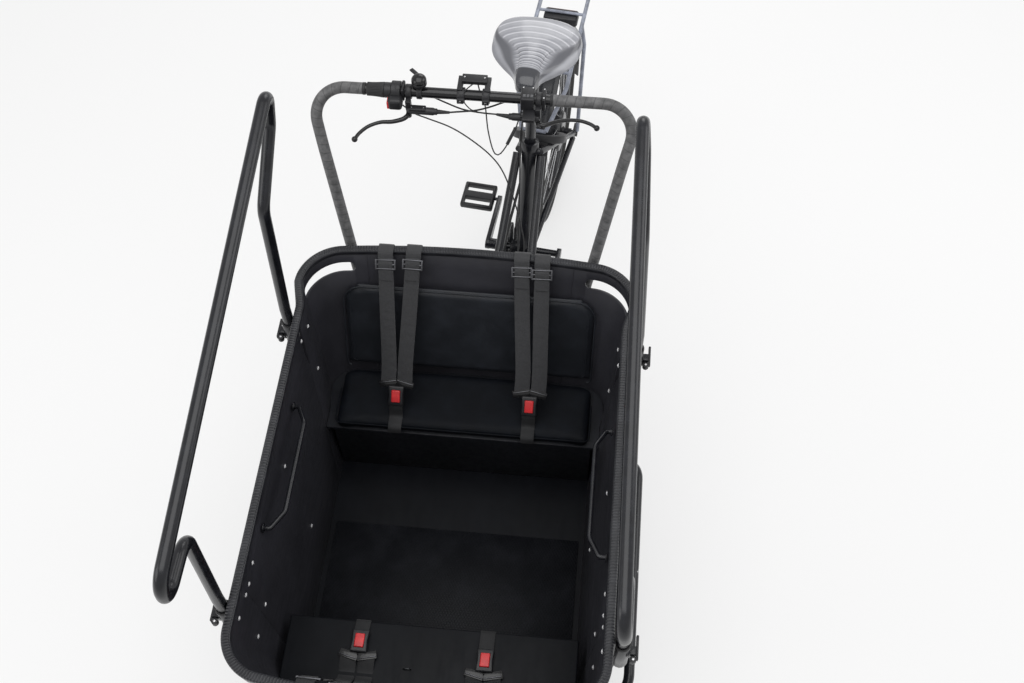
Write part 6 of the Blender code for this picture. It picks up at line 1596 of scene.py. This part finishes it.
def makeSwitchBox():
    # the lamp and motor switch beside the left perch
    w = switchShape
    parts = [block(low, high, bevel, 3) for low, high, bevel in w["blocks"]]
    settled(merged("switchBox", parts), "switchBox", looks["black_plastic"], "box_half")
    keys = []
    for i in range(3):
        x = w["keyX"] + w["keyPitch"] * i
        keys.append(block((x, 0.1640, 1.1195), (x + w["keyWidth"], 0.1720, 1.1212), 0.0008, 2))
    settled(merged("keys", keys), "switchKeys", greyPlastic, "box_half")
    bolts = [cylinder((x, y, 1.1192), (x, y, 1.1208), 0.0021, 0.0003, 20) for x, y in w["bolts"]]
    settled(merged("bolts", bolts), "switchBolts", brightSteel, "box_half")


makePushBar()
makeDisplayBracket()
makeShifter()
makeBrakes()
makeBell()
makeCables()
makeSwitchBox()
print("stage: push bar and controls")


# saddle; the rear half stands turned on its kingpin

steered = math.radians(-6.2)
kingpin = Matrix.Translation((0, -0.54, 0))
rearTurn = kingpin @ Matrix.Rotation(steered, 4, "Z") @ kingpin.inverted()

saddleShape = {
    "top": 0.957, "nose": 0.358, "tail": 0.620, "wide": 0.1175, "under": 0.030, "clampZ": 0.905,
    "boltY": 0.5208,
    # share of the length, half widths of crown and skirts, drop of the crown, fall of its edge, skirts' depth
    "stations": ((0.05, 0.12, 0.13, 0.026, 0.004, 0.014), (0.08, 0.19, 0.20, 0.015, 0.006, 0.026),
                 (0.14, 0.225, 0.25, 0.006, 0.008, 0.036), (0.22, 0.235, 0.34, 0.002, 0.010, 0.041),
                 (0.30, 0.24, 0.54, 0.001, 0.012, 0.043), (0.38, 0.255, 0.74, 0.000, 0.013, 0.043),
                 (0.46, 0.30, 0.89, 0.000, 0.014, 0.043), (0.53, 0.40, 0.97, 0.000, 0.015, 0.043),
                 (0.60, 0.60, 1.00, 0.000, 0.016, 0.042), (0.67, 0.82, 1.00, 0.000, 0.017, 0.042),
                 (0.75, 0.91, 1.00, 0.001, 0.017, 0.040), (0.83, 0.89, 0.95, 0.002, 0.016, 0.037),
                 (0.90, 0.80, 0.85, 0.005, 0.014, 0.032), (0.96, 0.62, 0.67, 0.010, 0.011, 0.025),
                 (1.00, 0.38, 0.42, 0.018, 0.006, 0.014)),
}


def saddleRings(around):
    # rings across the saddle: the crown above, then the skirts bulging out and down, then the underside
    s = saddleShape
    places = smoothPath([station[:3] for station in s["stations"]], 3)
    depths = smoothPath([station[3:] for station in s["stations"]], 3)
    rings = []
    for (share, crown, skirt), (drop, fall, depth) in zip(places, depths):
        y = s["nose"] + (s["tail"] - s["nose"]) * share
        level = s["top"] - drop
        line = []
        for i in range(around):
            angle = math.tau * i / around
            rise, side = math.sin(angle), math.cos(angle)
            if rise >= 0:
                x = crown * side
                dip = 0.0020 * math.exp(-(x * s["wide"] / 0.011) ** 2) * min(1.0, max(0.0, share * 4 - 1.4))
                z = level - fall * (1 - rise) - dip * (1 - share ** 6)
            elif rise > -0.7:
                down = -rise / 0.7
                x = math.copysign(crown + (skirt - crown) * down ** 0.75, side)
                z = level - fall - (depth - fall) * down ** 1.4
            else:
                inner = (-rise - 0.7) / 0.3
                x = skirt * side / math.cos(math.asin(0.7))
                z = level - depth + max(0.0, depth - s["under"]) * inner ** 0.7
            line.append(Vector((s["wide"] * x, y, z)))
        rings.append(line)
    return rings


def makeSaddle():
    s = saddleShape
    cover = skin("saddleCover", saddleRings(40), closeAcross=True, capped=True)
    worked(cover, "SUBSURF", levels=1, render_levels=1)
    placed(cover, rearTurn)
    settled(cover, "saddleCover", looks["saddle_grey"], "seat", ["saddle"], 70.0)
    low = s["clampZ"] + 0.010 + 0.0003
    rails = []
    for side in (1, -1):
        points = [(side * 0.012, 0.380, s["top"] - 0.020), (side * 0.016, 0.440, low + 0.0035),
                  (side * 0.016, 0.560, low + 0.0035), (side * 0.030, 0.594, s["top"] - 0.020)]
        rails.append(tube("rail", bentPath(points, (0.03, 0.03), 8), 0.0035, 5))
    rails = merged("rails", rails)
    placed(rails, rearTurn)
    settled(rails, "saddleRails", darkSteel, "seat", angle=60.0)
    pan = block((-0.034, 0.548, s["top"] - 0.036), (0.034, 0.600, s["top"] - 0.026), 0.004, 3)
    placed(pan, rearTurn)
    settled(pan, "saddlePan", looks["black_plastic"], "seat")
    dressed("seat_post", "seatPost", looks["black_paint"], "seat", 0.0008)
    bolt = cylinder((0.0, s["boltY"], s["clampZ"] - 0.0095), (0.0, s["boltY"], s["clampZ"] + 0.018),
                    0.0040, 0.0006, 24)
    placed(bolt, rearTurn)
    settled(bolt, "saddleBolt", brightSteel, "seat")


# wheels

wheelShape = {
    "tyre": 0.047, "bore": 0.00615, "bedWidth": 0.030, "bedDepth": 0.018, "spoke": 0.0012, "perSide": 10,
    "front": {"radius": 0.250, "x": 0.405, "y": -0.610, "flange": 0.026, "flangeRadius": 0.025},
    "rear": {"radius": 0.300, "y": 0.810, "flange": 0.023, "flangeRadius": 0.060},
}


def makeWheel(name, node, body, centre, turn, radius, hub, flange, flangeRadius, look):
    w = wheelShape
    half = w["tyre"] / 2
    place = turn @ Matrix.Translation(centre) @ Matrix.Rotation(math.pi / 2, 4, "Y")
    bed = radius - w["tyre"] - 0.0003
    deep, wide = w["bedDepth"], w["bedWidth"] / 2
    rim = turnedPart([(bed - deep * 0.5, -wide), (bed - 0.0006, -wide), (bed, -wide + 0.0012),
                      (bed, wide - 0.0012), (bed - 0.0006, wide), (bed - deep * 0.5, wide),
                      (bed - deep * 0.8, wide * 0.8), (bed - deep, wide * 0.5),
                      (bed - deep, -wide * 0.5), (bed - deep * 0.8, -wide * 0.8)], place, 96)
    settled(rim, name + "Rim", looks["black_paint"], body, [node + "_wheel"], 50.0)
    settled(turnedPart(hub, place, 56), name + "Hub", darkSteel if name != "rear" else looks["black_paint"],
            body, angle=35.0)
    spokes = []
    for side in (1, -1):
        for i in range(w["perSide"]):
            share = i + (0.5 if side > 0 else 0.0)
            angle = math.tau * share / w["perSide"]
            lead = angle + side * math.radians(24)
            low = Vector((side * flange, flangeRadius * math.cos(angle), flangeRadius * math.sin(angle)))
            reach = bed - deep * 0.7
            high = Vector((side * 0.003, reach * math.cos(lead), reach * math.sin(lead)))
            spokes.append(cylinder(low, high, w["spoke"], 0.0, 8))
            ahead = (high - low).normalized()
            spokes.append(cylinder(high - ahead * 0.018, high, 0.0019, 0.0, 8))
    spokes = merged("spokes", spokes)
    placed(spokes, turn @ Matrix.Translation(centre))
    settled(spokes, name + "Spokes", brightSteel, body, angle=50.0)
    profile = []
    for i in range(25):
        angle = math.radians(-52 + 284 * i / 24)
        profile.append((radius - half + half * math.sin(angle), half * math.cos(angle)))
    profile[0] = (radius - w["tyre"], wide - 0.001)
    profile[-1] = (radius - w["tyre"], -wide + 0.001)
    tyre = turnedPart(profile, place, 96)
    settled(tyre, name + "Tyre", look, body, [node + "_tyre"], 60.0)
    valve = cylinder((0, 0, bed - deep - 0.026), (0, 0, bed - deep + 0.004), 0.0028, 0.0006, 16)
    placed(valve, turn @ Matrix.Translation(centre))
    settled(valve, name + "Valve", looks["black_rubber"], body)


def makeWheels():
    f, r = wheelShape["front"], wheelShape["rear"]
    hole = wheelShape["bore"]
    frontHub = [(hole, -0.040), (0.012, -0.040), (0.0135, -0.031), (0.0265, -0.0282), (0.028, -0.0275),
                (0.028, -0.0245), (0.0265, -0.0238), (0.0145, -0.020), (0.0135, 0.0), (0.0145, 0.020),
                (0.0265, 0.0238), (0.028, 0.0245), (0.028, 0.0275), (0.0265, 0.0282), (0.0135, 0.031),
                (0.012, 0.040), (hole, 0.040)]
    for side, name, node in ((1, "frontLeft", "front_left"), (-1, "frontRight", "front_right")):
        centre = (side * f["x"], f["y"], f["radius"])
        look = treadRubber((-centre[0], -centre[1], -centre[2]), 0.0)
        makeWheel(name, node, node + "_wheel_set", centre, Matrix.Identity(4), f["radius"], frontHub,
                  f["flange"], f["flangeRadius"], look)
    rearHub = [(hole, -0.060), (0.013, -0.060), (0.013, -0.052), (0.0357, -0.052), (0.0357, -0.042),
               (0.018, -0.042), (0.018, -0.033), (0.056, -0.033), (0.0605, -0.0315), (0.062, -0.028),
               (0.062, -0.010), (0.0605, -0.008), (0.0605, 0.008), (0.062, 0.010), (0.062, 0.028),
               (0.0605, 0.0315), (0.056, 0.033), (0.018, 0.033), (0.0165, 0.036), (0.013, 0.040),
               (0.013, 0.060), (hole, 0.060)]
    centre = Vector((0.0, r["y"], r["radius"]))
    back = Matrix.Rotation(-steered, 3, "Z") @ -(rearTurn @ centre)
    look = treadRubber(tuple(back), -steered)
    makeWheel("rear", "rear", "rear_wheel_set", tuple(centre), rearTurn, r["radius"], rearHub,
              r["flange"], r["flangeRadius"], look)


# running gear and the rear half's smaller parts

guardShape = {
    "corners": ((0.2053, -0.290, 0.1747), (0.375, -0.290, 0.1747), (0.464, -0.290, 0.250),
                (0.464, -0.930, 0.250), (0.375, -0.930, 0.1747), (0.2053, -0.930, 0.1747)),
    "bends": (0.05, 0.06, 0.06, 0.05), "radius": 0.0129, "nut": ((0.4640, 0.4768), -0.610, 0.250, 0.0095),
}


def makeRunningGear():
    g = guardShape
    dressed("under_frame", "underFrame", looks["black_paint"], "box_half", 0.0006, 2, 50.0, 50.0)
    for side, name in ((1, "left"), (-1, "right")):
        corners = [(side * x, y, z) for x, y, z in g["corners"]]
        guard = tube("guard", bentPath(corners, g["bends"], 10), g["radius"], 8)
        settled(guard, "wheelGuard_" + name, looks["black_paint"], "box_half", ["wheel_guard_" + name], 60.0)
        (inner, outer), y, z, radius = g["nut"]
        nut = cylinder((side * inner, y, z), (side * outer, y, z), radius, 0.0010, 6)
        settled(nut, "axleNut_" + name, brightSteel, "box_half")


lensShape = ((-0.044, 0.9350, 0.6600), (0.044, 0.9385, 0.6810))


def makeRearHalf():
    paint, black = looks["black_paint"], looks["black_plastic"]
    dressed("rear_frame", "rearFrame", paint, "rear_half", 0.0006, 2, 50.0, 50.0)
    dressed("mudguard", "rearMudguard", paint, "rear_half", 0.0, smooth=50.0)
    dressed("luggage_rack", "rearRack", rackPaint, "rear_half", 0.0, smooth=50.0)
    dressed("rear_lamp", "rearLamp", black, "rear_half", 0.0020, 3)
    lens = placed(block(*lensShape, 0.0015, 3), rearTurn)
    settled(lens, "rearLampLens", looks["lamp_red"], "rear_half")
    dressed("ring_lock", "ringLock", black, "rear_half", 0.0022, 3)
    dressed("crankset", "crankSet", paint, "crank", 0.0008, 2, 50.0, 50.0)
    dressed("pedal_left", "pedalLeft", black, "left_pedal", 0.0010)
    dressed("pedal_right", "pedalRight", black, "right_pedal", 0.0010)
    dressed("drive_belt", "driveBelt", looks["black_rubber"], "rear_half", 0.0005)
    dressed("battery", "batteryCase", black, "battery_pack", 0.0012, 3)


makeSaddle()
makeWheels()
makeRunningGear()
makeRearHalf()
print("stage: saddle, wheels and rear half")


# whatever CAD nodes still show get the finish of their slot
for node in nodes.values():
    if not node.hide_render:
        for slot in node.material_slots:
            slot.material = looks[slot.material.name.split(".")[0]]
